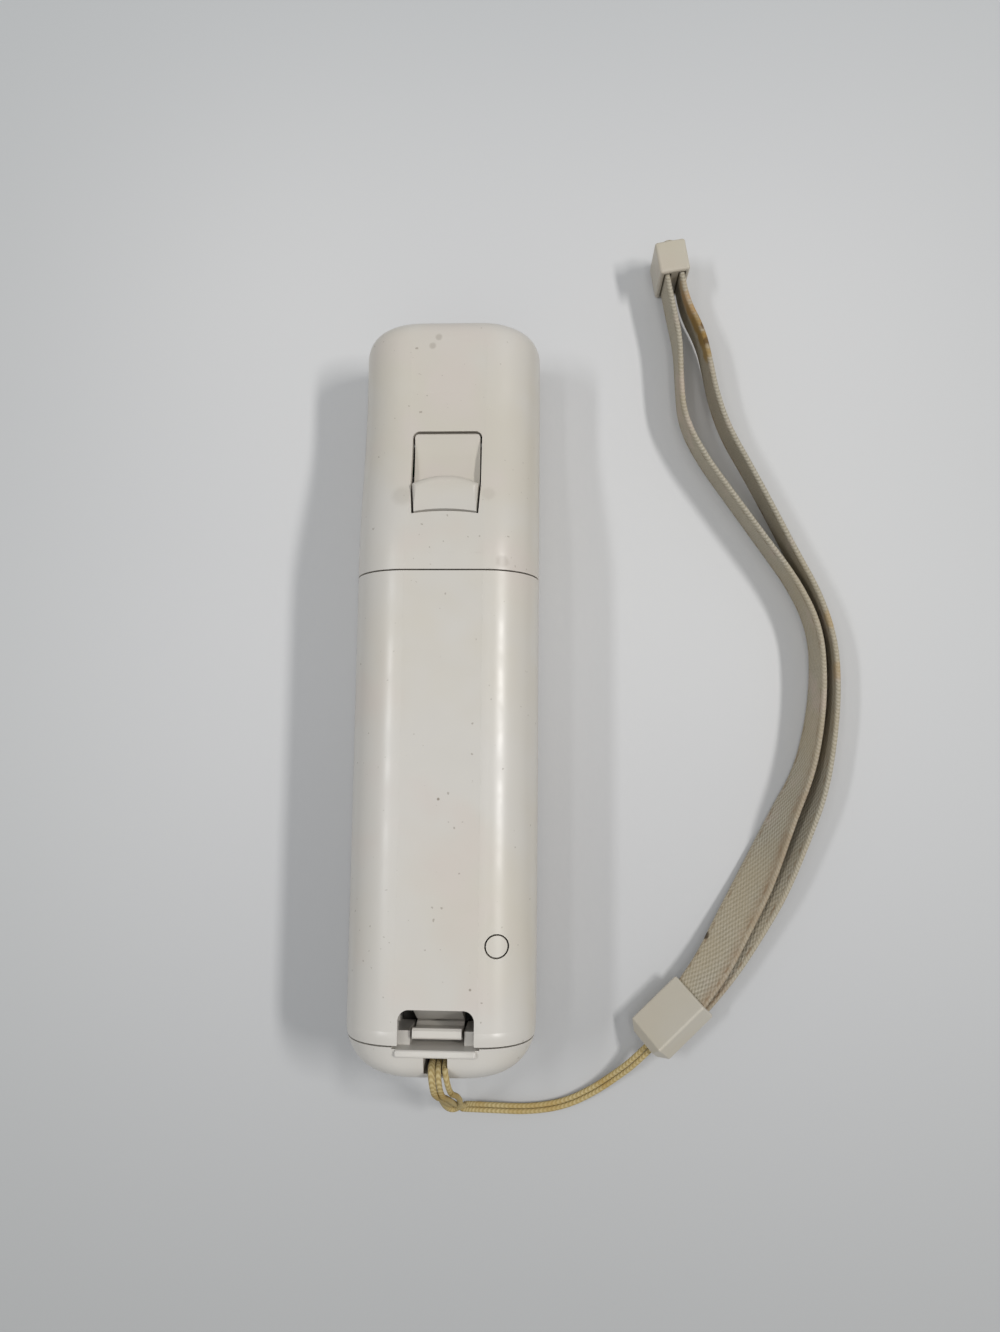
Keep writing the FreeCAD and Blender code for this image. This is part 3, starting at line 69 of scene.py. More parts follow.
# Painted shade on the floor, a slow darkening away from the object: axis, where it starts, where it
# ends, and the tone there
floor_painted_shade = [
    ("X", -0.03, -0.15, (190, 191, 191)), ("X", 0.06, 0.2, (190, 191, 191)),
    ("Y", 0.08, 0.22, (187, 189, 190)), ("Y", 0.03, -0.19, (171, 172, 172)),
]

# Wrist strap: the same routes as the CAD, in millimetres, with y told from the tail end.
# The heights of the hanging part are drops from the back.
tail_y = -74.0
back_z = 30.8
string_hang = [
    (-0.2, 3.1, 7.5), (-0.1, 3.1, 1.6), (0.1, 0.8, 0.0), (0.5, -2.8, 2.4), (0.9, -5.2, 9.6),
]
string_run = [
    (1.4, -8.1, 14.2), (2.1, -10.7, 7.6), (4.2, -12.2, 2.6),
    (9.8, -12.7, 1.4), (16.6, -12.9, 1.1), (23.6, -11.8, 1.1), (29.6, -9.0, 1.3),
    (34.6, -5.4, 2.2), (38.2, -2.2, 3.9), (42.1, 2.0, 5.1),
]
string_route = ([(x, tail_y + y, back_z - drop) for x, y, drop in string_hang]
                + [(x, tail_y + y, z) for x, y, z in string_run])
strand_radius = 0.54 * mm
strand_pitch = 1.1 * mm
# The loop of the hitch: out of the hole, round the string from below, and back up into the hole
hitch_route = [
    (-0.9, 3.1, 25.0), (-0.9, 3.1, 29.6), (-0.6, 0.7, 31.0), (-0.3, -2.6, 28.6), (-0.1, -4.8, 21.2),
    (-0.1, -7.4, 15.4), (0.2, -9.7, 11.4), (1.5, -10.8, 9.8), (3.0, -9.9, 10.8), (3.4, -7.8, 13.8),
    (3.1, -5.2, 19.2), (2.7, -2.5, 27.8), (2.2, 0.7, 31.0), (1.6, 3.1, 29.6), (1.6, 3.1, 25.0),
]
webbing_width = 9.2 * mm
webbing_thickness = 1.1 * mm
webbing_mouth_width = 8.0 * mm
mouth_taper = 28.0 * mm
# How far the soiled band on each leg's upper selvedge reaches from the block, in millimetres
inner_soiled_reach = 75.0
outer_soiled_reach = 10.0
leg_pitch = 3.2
strap_end = (46.4, 170.7)
strap_end_heading = 99.8
strap_end_z = 5.8
# How far the last three route points of a leg lie before the strap's end
keeper_run = (12.0, 4.5, 0.0)


def straight_end(side):
    """The last three route points of one leg, straight through the keeper."""
    angle = math.radians(strap_end_heading)
    ahead = (math.cos(angle), math.sin(angle))
    across = (ahead[1] * side * leg_pitch / 2, -ahead[0] * side * leg_pitch / 2)
    end = (strap_end[0] + across[0], strap_end[1] + across[1])
    return [(end[0] - ahead[0] * back, end[1] - ahead[1] * back, strap_end_z, 0)
            for back in keeper_run]


# Each leg of the webbing: x, y from the tail end, height of its middle, and lean in degrees
inner_leg_route = [
    (48.8, 10.9, 6.4, 52), (53.4, 16.4, 5.9, 53), (58.6, 25.8, 4.6, 50), (63.4, 34.6, 4.3, 43),
    (69.2, 47.8, 4.6, 24), (73.8, 57.2, 4.9, 13), (76.2, 67.0, 4.9, 8), (77.3, 77.0, 4.9, 4),
    (76.9, 87.2, 4.9, 1), (72.9, 96.7, 4.9, -1), (66.0, 106.7, 4.9, -2), (59.5, 116.2, 4.9, -3),
    (53.4, 125.1, 4.9, -3), (49.3, 133.7, 4.9, -2), (48.7, 142.6, 5.2, -1), (48.5, 150.6, 5.6, 0),
] + straight_end(-1)
outer_leg_route = [
    (49.8, 9.9, 4.5, 52), (54.8, 15.4, 4.1, 53), (60.4, 23.4, 3.7, 50), (66.6, 33.4, 4.2, 40),
    (72.2, 44.6, 4.6, 25), (76.4, 53.4, 4.8, 13), (78.8, 64.2, 4.9, 7), (80.1, 74.4, 4.9, 3),
    (80.0, 84.4, 4.9, 0), (77.2, 94.4, 4.9, -2), (72.4, 103.6, 4.9, -2), (68.0, 112.8, 4.9, -2),
    (63.2, 122.4, 4.9, -2), (58.8, 130.6, 4.9, -1), (56.2, 138.4, 5.1, 0), (54.9, 145.4, 5.4, 0),
    (53.4, 152.2, 5.7, 0),
] + straight_end(1)


# Colours, as they are read on a screen

def colour(red, green, blue):
    """A screen colour of 0 to 255 turned into the renderer's linear values."""
    def linear(c):
        c = c / 255
        return c / 12.92 if c <= 0.04045 else ((c + 0.055) / 1.055) ** 2.4
    return (linear(red), linear(green), linear(blue), 1.0)


def shifted(tint, red, green, blue):
    """A screen colour moved by a step in red, green and blue, as linear values."""
    return colour(tint[0] + red, tint[1] + green, tint[2] + blue)


# Node helpers

# The share of a mark's radius inside which it has its full colour
spot_core = 0.45


class Shader:
    """A new material with its nodes, its links and its main shader."""

    def __init__(self, name):
        self.material = bpy.data.materials.new(name)
        self.material.use_nodes = True
        self.nodes = self.material.node_tree.nodes
        self.links = self.material.node_tree.links
        self.main = self.nodes["Principled BSDF"]

    def place(self, kind="Object"):
        """Where a point lies: its place in the frame, or its UV."""
        return self.nodes.new("ShaderNodeTexCoord").outputs[kind]

    def axes(self, place):
        """The X, Y and Z of a place, by name."""
        node = self.nodes.new("ShaderNodeSeparateXYZ")
        self.links.new(place, node.inputs["Vector"])
        return node.outputs

    def length(self, vector):
        """The length of a vector."""
        node = self.nodes.new("ShaderNodeVectorMath")
        node.operation = "LENGTH"
        self.links.new(vector, node.inputs[0])
        return node.outputs["Value"]

    def noise(self, scale, detail=4.0, rough=0.55, stretch=None):
        """Cloudy noise, scale in waves to the metre."""
        node = self.nodes.new("ShaderNodeTexNoise")
        node.inputs["Scale"].default_value = scale
        node.inputs["Detail"].default_value = detail
        node.inputs["Roughness"].default_value = rough
        place = self.place()
        if stretch:
            place = self.stretch(place, stretch)
        self.links.new(place, node.inputs["Vector"])
        return node.outputs["Fac"]

    def stretch(self, place, scale):
        """A place scaled by different amounts along its axes."""
        node = self.nodes.new("ShaderNodeMapping")
        node.inputs["Scale"].default_value = scale
        self.links.new(place, node.inputs["Vector"])
        return node.outputs["Vector"]

    def math(self, kind, a, b=None):
        """One arithmetic step on sockets or numbers."""
        node = self.nodes.new("ShaderNodeMath")
        node.operation = kind
        for k, value in enumerate((a, b)):
            if value is None:
                continue
            if isinstance(value, (int, float)):
                node.inputs[k].default_value = value
            else:
                self.links.new(value, node.inputs[k])
        return node.outputs[0]

    def ramp(self, value, low, high, out_low=0.0, out_high=1.0):
        """A value carried smoothly from one range to another."""
        node = self.nodes.new("ShaderNodeMapRange")
        node.interpolation_type = "SMOOTHSTEP"
        self.links.new(value, node.inputs["Value"])
        node.inputs["From Min"].default_value = low
        node.inputs["From Max"].default_value = high
        node.inputs["To Min"].default_value = out_low
        node.inputs["To Max"].default_value = out_high
        return node.outputs["Result"]

    def mix(self, share, a, b):
        """Two colours mixed by a share."""
        node = self.nodes.new("ShaderNodeMix")
        node.data_type = "RGBA"
        for key, kind, value in (("Factor", "VALUE", share), ("A", "RGBA", a), ("B", "RGBA", b)):
            socket = [s for s in node.inputs if s.name == key and s.type == kind][0]
            if isinstance(value, (int, float, tuple)):
                socket.default_value = value
            else:
                self.links.new(value, socket)
        return [s for s in node.outputs if s.type == "RGBA"][0]

    def spot(self, centre, radius, ragged=0.0, squash=None):
        """1 inside a round mark about a place, fading to 0 at its edge."""
        offset = self.nodes.new("ShaderNodeVectorMath")
        offset.operation = "SUBTRACT"
        self.links.new(self.place(), offset.inputs[0])
        offset.inputs[1].default_value = centre
        vector = offset.outputs["Vector"]
        if squash:
            vector = self.stretch(vector, squash)
        distance = self.length(vector)
        if ragged:
            wobble = self.math("SUBTRACT", self.noise(1.2 / radius, 5.0, 0.7), 0.5)
            distance = self.math("ADD", distance, self.math("MULTIPLY", wobble, ragged))
        return self.ramp(distance, radius, radius * spot_core)

    def bump(self, height, strength, distance, under=None):
        """A bumped normal, on top of another where one is given."""
        node = self.nodes.new("ShaderNodeBump")
        node.inputs["Strength"].default_value = strength
        node.inputs["Distance"].default_value = distance
        self.links.new(height, node.inputs["Height"])
        if under is not None:
            self.links.new(under, node.inputs["Normal"])
        return node.outputs["Normal"]

    def set(self, name, value):
        """A number, colour or socket on the main shader."""
        socket = self.main.inputs[name]
        if isinstance(value, (int, float, tuple)):
            socket.default_value = value
        else:
            self.links.new(value, socket)

    def base_colour(self, share, a, b):
        """Two colours mixed by a share, straight into the base colour."""
        self.set("Base Color", self.mix(share, a, b))


# Materials

def body_plastic(name, tint, dirt_and_painted_light=False):
    """Aged white moulded plastic: uneven yellowing and fine grain; the dirty version adds specks,
    scuffs and marks, painted highlights on the strap bar and the latch tab, and painted shade deep
    in the notch.
    """
    s = Shader(name)
    cream = shifted(tint, -2, -4, -9)
    rosy = shifted(tint, 1, -4, -4)
    base = s.mix(s.ramp(s.noise(28, 3.0), 0.42, 0.66), colour(*tint), cream)
    base = s.mix(s.ramp(s.noise(55, 2.0), 0.5, 0.7, 0.0, 0.6), base, rosy)
    if dirt_and_painted_light:
        dirt = colour(*dirt_tone)
        speckle = s.ramp(s.noise(900, 2.0, 0.4), 0.735, 0.78, 0.0, 0.5)
        base = s.mix(speckle, base, dirt)
        for centre, radius, depth in body_marks:
            mark = s.spot(tuple(c * mm for c in centre), radius * mm, radius * 0.5 * mm)
            base = s.mix(s.math("MULTIPLY", mark, depth), base, dirt)
        # painted highlights: the strap bar and the latch's thumb tab are painted paler
        for centre, radius, squash in painted_highlights:
            wear_and_highlight = s.spot(tuple(c * mm for c in centre), radius * mm, squash=squash)
            base = s.mix(s.math("MULTIPLY", wear_and_highlight, highlight_depth), base, colour(*highlight_tone))
        # painted shade: the deep inside of the notch is painted almost black
        painted_shade_share = s.spot(notch_place, notch_radius, squash=notch_squash)
        base = s.mix(painted_shade_share, base, colour(*notch_painted_shade))
    s.set("Base Color", base)
    s.set("Roughness", s.ramp(s.noise(160, 4.0), 0.3, 0.7, 0.29, 0.38))
    s.set("Specular IOR Level", 0.5)
    grain = s.bump(s.noise(3800, 3.0, 0.6), 0.12, 0.00002)
    s.set("Normal", s.bump(s.noise(60, 2.0), 0.05, 0.0004, grain))
    return s.material


# Marks on the back of the body: centre in mm, radius in mm, depth of colour
body_marks = [
    ((-0.2, -22.9, 30.8), 0.35, 0.8), ((-18.0, 6.3, 14.0), 0.4, 0.7), ((6.2, -57.3, 30.8), 0.3, 0.7),
    ((-2.2, 69.6, 26.0), 0.9, 0.3), ((-3.4, 67.8, 26.0), 0.9, 0.3), ((-8.5, 35.5, 29.0), 2.6, 0.16),
    ((11.2, 22.4, 29.8), 1.7, 0.3), ((8.4, 36.0, 29.0), 1.8, 0.12), ((-16.9, 40.0, 12.0), 0.4, 0.5),
]
dirt_tone = (120, 108, 92)
# Painted highlights on the strap bar and the latch's thumb tab: centre in mm, radius in mm, squash
# along the axes
painted_highlights = [
    ((0.0, -68.7, 31.25), 0.95, (0.12, 1.0, 1.4)), ((0.0, -65.75, 28.6), 1.3, (0.22, 0.9, 0.8)),
]
highlight_tone = (210, 206, 198)
highlight_depth = 0.75
# Painted shade deep inside the notch: the shells there are painted almost black
notch_place = (0.0, -0.0635, 0.0146)
notch_radius = 0.0062
notch_squash = (0.5, 0.7, 1.0)
notch_painted_shade = (20, 17, 14)


def plain_plastic(name, tint, rough):
    """Plain coloured plastic with a slight orange peel."""
    s = Shader(name)
    s.base_colour(s.ramp(s.noise(220, 3.0), 0.35, 0.7), colour(*tint), shifted(tint, -10, -10, -10))
    s.set("Roughness", s.ramp(s.noise(500, 3.0), 0.3, 0.7, rough - 0.05, rough + 0.07))
    s.set("Normal", s.bump(s.noise(1800, 2.0), 0.08, 0.00003))
    return s.material


def clear_key(name, tint):
    """Slightly see-through key plastic with a polished top."""
    s = Shader(name)
    s.base_colour(s.ramp(s.noise(300, 3.0), 0.4, 0.7), colour(*tint), shifted(tint, -8, -8, -8))
    s.set("Roughness", 0.16)
    s.set("Coat Weight", 0.5)
    s.set("Coat Roughness", 0.08)
    s.set("Subsurface Weight", 0.12)
    s.set("Subsurface Scale", 0.001)
    return s.material


def metal(name, tint, rough=0.3):
    """Plated sheet or wire with faint drawing marks."""
    s = Shader(name)
    s.base_colour(s.ramp(s.noise(700, 4.0), 0.35, 0.7), colour(*tint), shifted(tint, -22, -22, -22))
    s.set("Metallic", 1.0)
    drawn = s.noise(900, 3.0, stretch=(1, 0.1, 1))
    s.set("Roughness", s.ramp(drawn, 0.3, 0.7, rough - 0.08, rough + 0.1))
    return s.material


def board_lacquer(name):
    """Green solder mask with fine tracks under it."""
    s = Shader(name)
    tracks = s.nodes.new("ShaderNodeTexBrick")
    tracks.inputs["Scale"].default_value = 420
    tracks.inputs["Mortar Size"].default_value = 0.03
    s.links.new(s.place(), tracks.inputs["Vector"])
    shown = s.ramp(tracks.outputs["Fac"], 0.2, 0.8, 0.0, 0.45)
    s.base_colour(shown, colour(24, 92, 52), colour(70, 140, 84))
    s.set("Roughness", 0.3)
    s.set("Normal", s.bump(tracks.outputs["Fac"], 0.2, 0.00003))
    return s.material


def speaker_mesh(name):
    """Black fabric dust cover of the speaker."""
    s = Shader(name)
    s.base_colour(s.noise(4000, 2.0), colour(20, 20, 20), colour(48, 48, 48))
    s.set("Roughness", 0.85)
    s.set("Normal", s.bump(s.noise(5000, 2.0), 0.4, 0.0001))
    return s.material


# Where the grey of a cell's sleeve turns into its pale band, along Y in metres
cell_band_start = (-0.0062, -0.0058)


def cell_label(name):
    """Plain grey sleeve of a cell with a pale band at its end."""
    s = Shader(name)
    band = s.ramp(s.axes(s.place())["Y"], *cell_band_start)
    s.base_colour(band, colour(124, 134, 138), colour(206, 208, 206))
    s.set("Roughness", 0.28)
    s.set("Coat Weight", 0.4)
    return s.material


def window_glass(name):
    """Deep red-black filter of the sensor window."""
    s = Shader(name)
    s.base_colour(s.noise(120), colour(18, 5, 7), colour(28, 8, 10))
    s.set("Roughness", 0.06)
    s.set("Specular IOR Level", 0.4)
    return s.material


def lens_glass(name):
    """Dark coated lens."""
    s = Shader(name)
    s.base_colour(s.noise(900), colour(16, 18, 34), colour(30, 24, 44))
    s.set("Roughness", 0.05)
    s.set("Coat Weight", 1.0)
    return s.material


# The weave in millimetres: its ribs and rows, how far a rib runs on per millimetre across,
# and how far from the middle the selvedge and its groove lie
rib_pitch = 1.5
row_pitch = 0.85
rib_slant = 0.3
selvedge_rib_pitch = 0.8
selvedge_rib_depth = 0.55
selvedge_start = 3.5
selvedge_end = 3.8
groove_place = 3.55
# The webbing's tones: hollows and tops of the weave, its yellowed and reddened places,
# and the dirt in the groove and along the upper selvedge
weave_hollow = (143, 135, 117)
weave_top = (194, 187, 171)
webbing_yellowed = (172, 158, 131)
webbing_reddened = (192, 174, 164)
groove_dirt = (136, 116, 92)
selvedge_dirt = (146, 122, 96)


def webbing_cloth(name, stains, soiled_reach):
    """Aged flat webbing: rows of fine pale stitches between two ribbed selvedges.

    The UV runs in millimetres: U along the webbing and V across it. soiled_reach
    gives how far along the upper selvedge its soiled band goes.
    """
    s = Shader(name)
    along, across = s.axes(s.place("UV"))[:2]
    beside = s.math("ABSOLUTE", across)
    slanted = s.math("ADD", along, s.math("MULTIPLY", across, rib_slant))
    ribs = s.math("SINE", s.math("MULTIPLY", slanted, 2 * math.pi / rib_pitch))
    rows = s.math("SINE", s.math("MULTIPLY", across, 2 * math.pi / row_pitch))
    stitches = s.math("MULTIPLY", ribs, rows)
    selvedge = s.ramp(beside, selvedge_start, selvedge_end)
    edge_place = s.math("ADD", along, beside)
    edge_ribs = s.math("SINE", s.math("MULTIPLY", edge_place, 2 * math.pi / selvedge_rib_pitch))
    edge_ribs = s.math("MULTIPLY", edge_ribs, selvedge_rib_depth)
    edge_change = s.math("SUBTRACT", edge_ribs, stitches)
    weave = s.math("ADD", stitches, s.math("MULTIPLY", edge_change, selvedge))
    fuzz = s.math("SUBTRACT", s.noise(2600, 5.0, 0.7), 0.5)
    weave = s.math("ADD", weave, s.math("MULTIPLY", fuzz, 3.0))
    base = s.mix(s.ramp(weave, -1.5, 1.6), colour(*weave_hollow), colour(*weave_top))
    yellowed = s.ramp(s.noise(45, 4.0), 0.42, 0.68, 0.0, 0.5)
    base = s.mix(yellowed, base, colour(*webbing_yellowed))
    reddened = s.ramp(s.noise(110, 3.0), 0.55, 0.72, 0.0, 0.4)
    base = s.mix(reddened, base, colour(*webbing_reddened))
    from_groove = s.math("ABSOLUTE", s.math("SUBTRACT", beside, groove_place))
    groove = s.math("SUBTRACT", 1.0, s.ramp(from_groove, 0.1, 0.35))
    wear_and_highlight = s.ramp(s.noise(500, 3.0), 0.45, 0.65, 0.1, 0.75)
    base = s.mix(s.math("MULTIPLY", groove, wear_and_highlight), base, colour(*groove_dirt))
    soiled = s.ramp(across, 1.6, 3.4)
    soiled = s.math("MULTIPLY", soiled, s.ramp(along, soiled_reach, soiled_reach * 0.6))
    soiled = s.math("MULTIPLY", soiled, s.ramp(s.noise(300, 4.0, 0.7), 0.3, 0.65, 0.1, 0.5))
    base = s.mix(soiled, base, colour(*selvedge_dirt))
    for centre, radius, tint, depth in stains:
        mark = s.spot(tuple(c * mm for c in centre), radius * mm, radius * 0.9 * mm)
        base = s.mix(s.math("MULTIPLY", mark, depth), base, colour(*tint))
    s.set("Base Color", base)
    s.set("Roughness", 0.88)
    s.set("Specular IOR Level", 0.2)
    s.set("Normal", s.bump(weave, 0.5, 0.0001))
    return s.material


# The string's twist in millimetres along the strand, and how far it runs on per millimetre across
twist_pitch = 0.9
twist_slant = 1.6
# The string's tones: hollows and tops of its twist, and its yellowed places
twist_hollow = (162, 142, 95)
twist_top = (193, 177, 133)
string_yellowed = (166, 136, 74)


def string_cord(name):
    """Yellowed twisted string. The UV runs in millimetres: U along it, V across it."""
    s = Shader(name)
    along, across = s.axes(s.place("UV"))[:2]
    slanted = s.math("ADD", along, s.math("MULTIPLY", across, twist_slant))
    turns = s.math("SINE", s.math("MULTIPLY", slanted, 2 * math.pi / twist_pitch))
    twist = s.math("ADD", turns, s.math("MULTIPLY", s.noise(2400, 4.0, 0.7), 1.2))
    base = s.mix(s.ramp(twist, -0.8, 2.0), colour(*twist_hollow), colour(*twist_top))
    yellowed = s.ramp(s.noise(150, 3.0), 0.42, 0.7, 0.0, 0.6)
    base = s.mix(yellowed, base, colour(*string_yellowed))
    s.set("Base Color", base)
    s.set("Roughness", 0.85)
    s.set("Specular IOR Level", 0.1)
    s.set("Normal", s.bump(twist, 0.2, 0.00004))
    return s.material


# Marks on the webbing: centre in mm, radius in mm, colour, depth
inner_stains = [
    ((76.1, 9.8, 9.6), 0.9, (112, 70, 52), 0.9), ((55.3, 46.5, 9.4), 0.5, (110, 84, 64), 0.8),
    ((52.9, -50.6, 3.2), 1.3, (60, 50, 38), 0.9), ((52.6, -64.6, 6.0), 0.6, (112, 84, 62), 0.8),
    ((62.2, -52.8, 8.5), 1.6, (128, 108, 84), 0.6), ((66.0, -45.0, 8.8), 1.4, (128, 108, 84), 0.5),
]
outer_stains = [
    ((49.8, 88.6, 8.6), 2.4, (186, 158, 122), 0.7), ((50.6, 86.0, 8.6), 2.8, (180, 146, 104), 0.9),
    ((51.4, 83.0, 8.6), 3.0, (170, 136, 88), 0.95), ((52.3, 79.8, 8.6), 3.2, (156, 126, 74), 0.95),
    ((53.2, 76.6, 8.6), 3.2, (150, 120, 68), 0.95), ((54.1, 73.4, 8.6), 2.8, (158, 130, 80), 0.9),
    ((53.4, 79.0, 10.0), 1.1, (100, 76, 48), 0.8), ((54.3, 75.6, 10.0), 1.2, (98, 76, 48), 0.85),
    ((79.0, 15.0, 9.4), 2.4, (172, 144, 98), 0.5), ((80.4, 4.0, 9.0), 2.6, (172, 146, 104), 0.5),
]


# Smooth lines and swept skins

steps_per_point = 12


def spline_points(name, points):
    """Points read from a smooth spline whose control points are the route."""
    curve = bpy.data.curves.new(name + "_line", "CURVE")
    curve.dimensions = "3D"
    spline = curve.splines.new("NURBS")
    spline.points.add(len(points) - 1)
    for point, place in zip(spline.points, points):
        point.co = (place[0] * mm, place[1] * mm, place[2] * mm, 1.0)
    spline.order_u = 3
    spline.use_endpoint_u = True
    curve.resolution_u = steps_per_point
    holder = bpy.data.objects.new(name + "_line", curve)
    bpy.context.scene.collection.objects.link(holder)
    bpy.context.view_layer.update()
    mesh = bpy.data.meshes.new_from_object(holder)
    line = np.empty(len(mesh.vertices) * 3)
    mesh.vertices.foreach_get("co", line)
    bpy.data.objects.remove(holder)
    return line.reshape(-1, 3)


def spread(values, count):
    """The route's fourth numbers at each point of its line.

    Between the route's points it is the same quadratic B-spline as the line: each span
    blends three neighbours a, b, c as start (1 - t)^2 + 2 b t (1 - t) + end t^2, where start
    and end are the midpoints a-b and b-c, or a and c themselves at the two ends.
    """
    values = np.asarray(values, dtype=float)
    spans = len(values) - 2
    u = np.minimum(spans - 1e-9, spans * np.arange(count) / (count - 1))
    k = u.astype(int)
    t = u - k
    a, b, c = values[k], values[k + 1], values[k + 2]
    start = np.where(k == 0, a, (a + b) / 2)
    end = np.where(k == spans - 1, c, (b + c) / 2)
    return start * (1 - t) ** 2 + 2 * b * t * (1 - t) + end * t ** 2


def add_object(name, mesh, node):
    """A new piece that rides on the housing and stands for a CAD node."""
    mesh.shade_smooth()
    piece = bpy.data.objects.new(name, mesh)
    bpy.context.scene.collection.objects.link(piece)
    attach(piece, "housing")
    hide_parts(node)
    return piece


def sweep_mesh(name, line, side, up, rings):
    """A closed skin carried along a line, with a cap at each end.

    Vertex (i, j) lies at line[i] + a side[i] + b up[i], where (a, b) = rings[i, j] is the
    offset of the j-th point of the i-th ring in metres. The UV runs in millimetres:
    U is the length of the line up to i, and V is b.
    """
    stations, ring = rings.shape[:2]
    places = line[:, None] + rings[:, :, :1] * side[:, None] + rings[:, :, 1:] * up[:, None]
    index = np.arange(stations * ring).reshape(stations, ring)
    beside = np.roll(index, -1, axis=1)
    quads = np.stack([index[:-1], index[1:], beside[1:], beside[:-1]], axis=-1).reshape(-1, 4)
    caps = [index[0].tolist(), index[-1][::-1].tolist()]
    mesh = bpy.data.meshes.new(name)
    mesh.from_pydata(places.reshape(-1, 3).tolist(), [], quads.tolist() + caps)
    flat = np.stack([np.repeat(run_along(line), ring), rings[:, :, 1].ravel()], axis=1) / mm
    corner = np.empty(len(mesh.loops), dtype=np.int32)
    mesh.loops.foreach_get("vertex_index", corner)
    uv = mesh.uv_layers.new(name="UVMap")
    uv.data.foreach_set("uv", flat[corner].ravel())
    mesh.update()
    return mesh


def run_along(line):
    """The length of a line up to each of its points."""
    return np.concatenate([[0], np.cumsum(np.linalg.norm(np.diff(line, axis=0), axis=1))])


def unit(vectors):
    """Vectors scaled to length 1."""
    return vectors / np.linalg.norm(vectors, axis=1)[:, None]


def upright_frames(line, leans):
    """Through and across directions of a band that stands on its edge and leans.

    Across is the upright direction at a right angle to the line, turned by the lean
    about the line; through is the cross product of the line's direction and across.
    """
    ahead = unit(np.gradient(line, axis=0))
    side = unit(np.cross(ahead, (0, 0, 1)))
    up = np.cross(side, ahead)
    lean = np.radians(leans)[:, None]
    across = up * np.cos(lean) + side * np.sin(lean)
    return np.cross(ahead, across), across


# Points in a half circle at the webbing's edge; places of the points on its flat, as shares
# of the way from the middle to the edge; and how thick it is there, as a share of the edge
edge_points = 11
flat_places = np.array([0.62, 0.2, -0.2, -0.62])
flat_share = 0.9


def webbing_rings(widths):
    """Flat rings with rounded edges, a little thinner between their two edges.

    Half a ring is a half circle of half the thickness at the upper edge, from
    90 to -90 degrees, and four points down the flat at flat_share of that; the other
    half is the same turned by 180 degrees. In this order the faces point outwards.
    """
    radius = webbing_thickness / 2
    middle = (widths / 2 - radius)[:, None]
    angles = np.linspace(math.pi / 2, -math.pi / 2, edge_points)
    across = np.hstack([middle + radius * np.cos(angles), middle * flat_places])
    through = radius * np.concatenate([np.sin(angles), np.full(len(flat_places), -flat_share)])
    half = np.stack([np.broadcast_to(through, across.shape), across], axis=-1)
    return np.hstack([half, -half])


# Points round the fold, and round a strand
fold_steps = 10
strand_sides = 12


def fold_points():
    """The half ring at the keeper where the outer leg turns back into the inner leg.

    Its middle is the strap's end, its radius half the pitch of the legs, and it runs
    through 180 degrees from the outer leg's side.
    """
    radius = leg_pitch / 2
    first = math.radians(strap_end_heading) - math.pi / 2
    angles = first + math.pi * np.arange(1, fold_steps + 1) / fold_steps
    x = strap_end[0] + radius * np.cos(angles)
    y = tail_y + strap_end[1] + radius * np.sin(angles)
    return np.stack([x, y, np.full(fold_steps, strap_end_z)], axis=1) * mm


def webbing_leg(name, route, node, stains, soiled_reach, fold=False):
    """One leg of the webbing: a flat rounded band that leans as it runs."""
    line = spline_points(name, [(x, tail_y + y, z) for x, y, z, lean in route])
    leans = spread([p[3] for p in route], len(line))
    whole = line
    if fold:
        whole = np.vstack([line, fold_points()])
        leans = np.concatenate([leans, np.zeros(len(whole) - len(line))])
    narrow = np.maximum(0, 1 - run_along(whole) / mouth_taper)
    widths = webbing_width - (webbing_width - webbing_mouth_width) * narrow
    through, across = upright_frames(whole, leans)
    mesh = sweep_mesh(name, whole, through, across, webbing_rings(widths))
    piece = add_object(name, mesh, node)
    piece.data.materials.append(webbing_cloth(name + "_cloth", stains, soiled_reach))
    return piece, line


# Below this length of the level direction, the string counts as hanging steeply
steep_limit = 0.5


def string_frames(line):
    """Side and up directions along the string: its two strands lie level all the way.

    Side is the cross product of the line's direction and the vertical. Where the line
    hangs steeply, that is short, so the direction across the body is added first.
    """
    ahead = unit(np.gradient(line, axis=0))
    side = np.cross(ahead, (0, 0, 1))
    steep = np.linalg.norm(side, axis=1) < steep_limit
    side[steep] += (-1.0, 0.0, 0.0)
    side = unit(side - ahead * np.sum(side * ahead, axis=1)[:, None])
    return side, np.cross(side, ahead)


def strand(line, offset):
    """One round strand of the string: circles about the middle line moved by the offset."""
    side, up = string_frames(line)
    angles = 2 * math.pi * np.arange(strand_sides) / strand_sides
    circle = strand_radius * np.stack([np.cos(angles), np.sin(angles)], axis=1)
    rings = np.broadcast_to(circle, (len(line), strand_sides, 2))
    return sweep_mesh("strand", line + side * offset, side, up, rings)


def join_meshes(name, meshes):
    """Several meshes made into one."""
    target = bmesh.new()
    for mesh in meshes:
        target.from_mesh(mesh)
    joined = bpy.data.meshes.new(name)
    target.to_mesh(joined)
    target.free()
    return joined


def strap_string():
    """Two strands side by side from the hole to the block, and the loop that hitches them."""
    line = spline_points("strap_string", string_route)
    loop = spline_points("string_hitch", [(x, tail_y + y, z) for x, y, z in hitch_route])
    meshes = [strand(line, sign * strand_pitch / 2) for sign in (-1, 1)]
    meshes.append(strand(loop, 0.0))
    mesh = join_meshes("string_strands", meshes)
    piece = add_object("string_strands", mesh, "strap_string")
    piece.data.materials.append(string_cord("string_cord"))
    return piece, line


# Stage, light and camera

def seen_directly(nodes, links):
    """1 for rays from the camera, a reflection or a view through glass, and 0 for light."""
    path = nodes.new("ShaderNodeLightPath")
    total = path.outputs["Is Camera Ray"]
    for kind in ("Is Glossy Ray", "Is Transmission Ray"):
        step = nodes.new("ShaderNodeMath")
        step.operation = "MAXIMUM"
        links.new(total, step.inputs[0])
        links.new(path.outputs[kind], step.inputs[1])
        total = step.outputs[0]
    return total


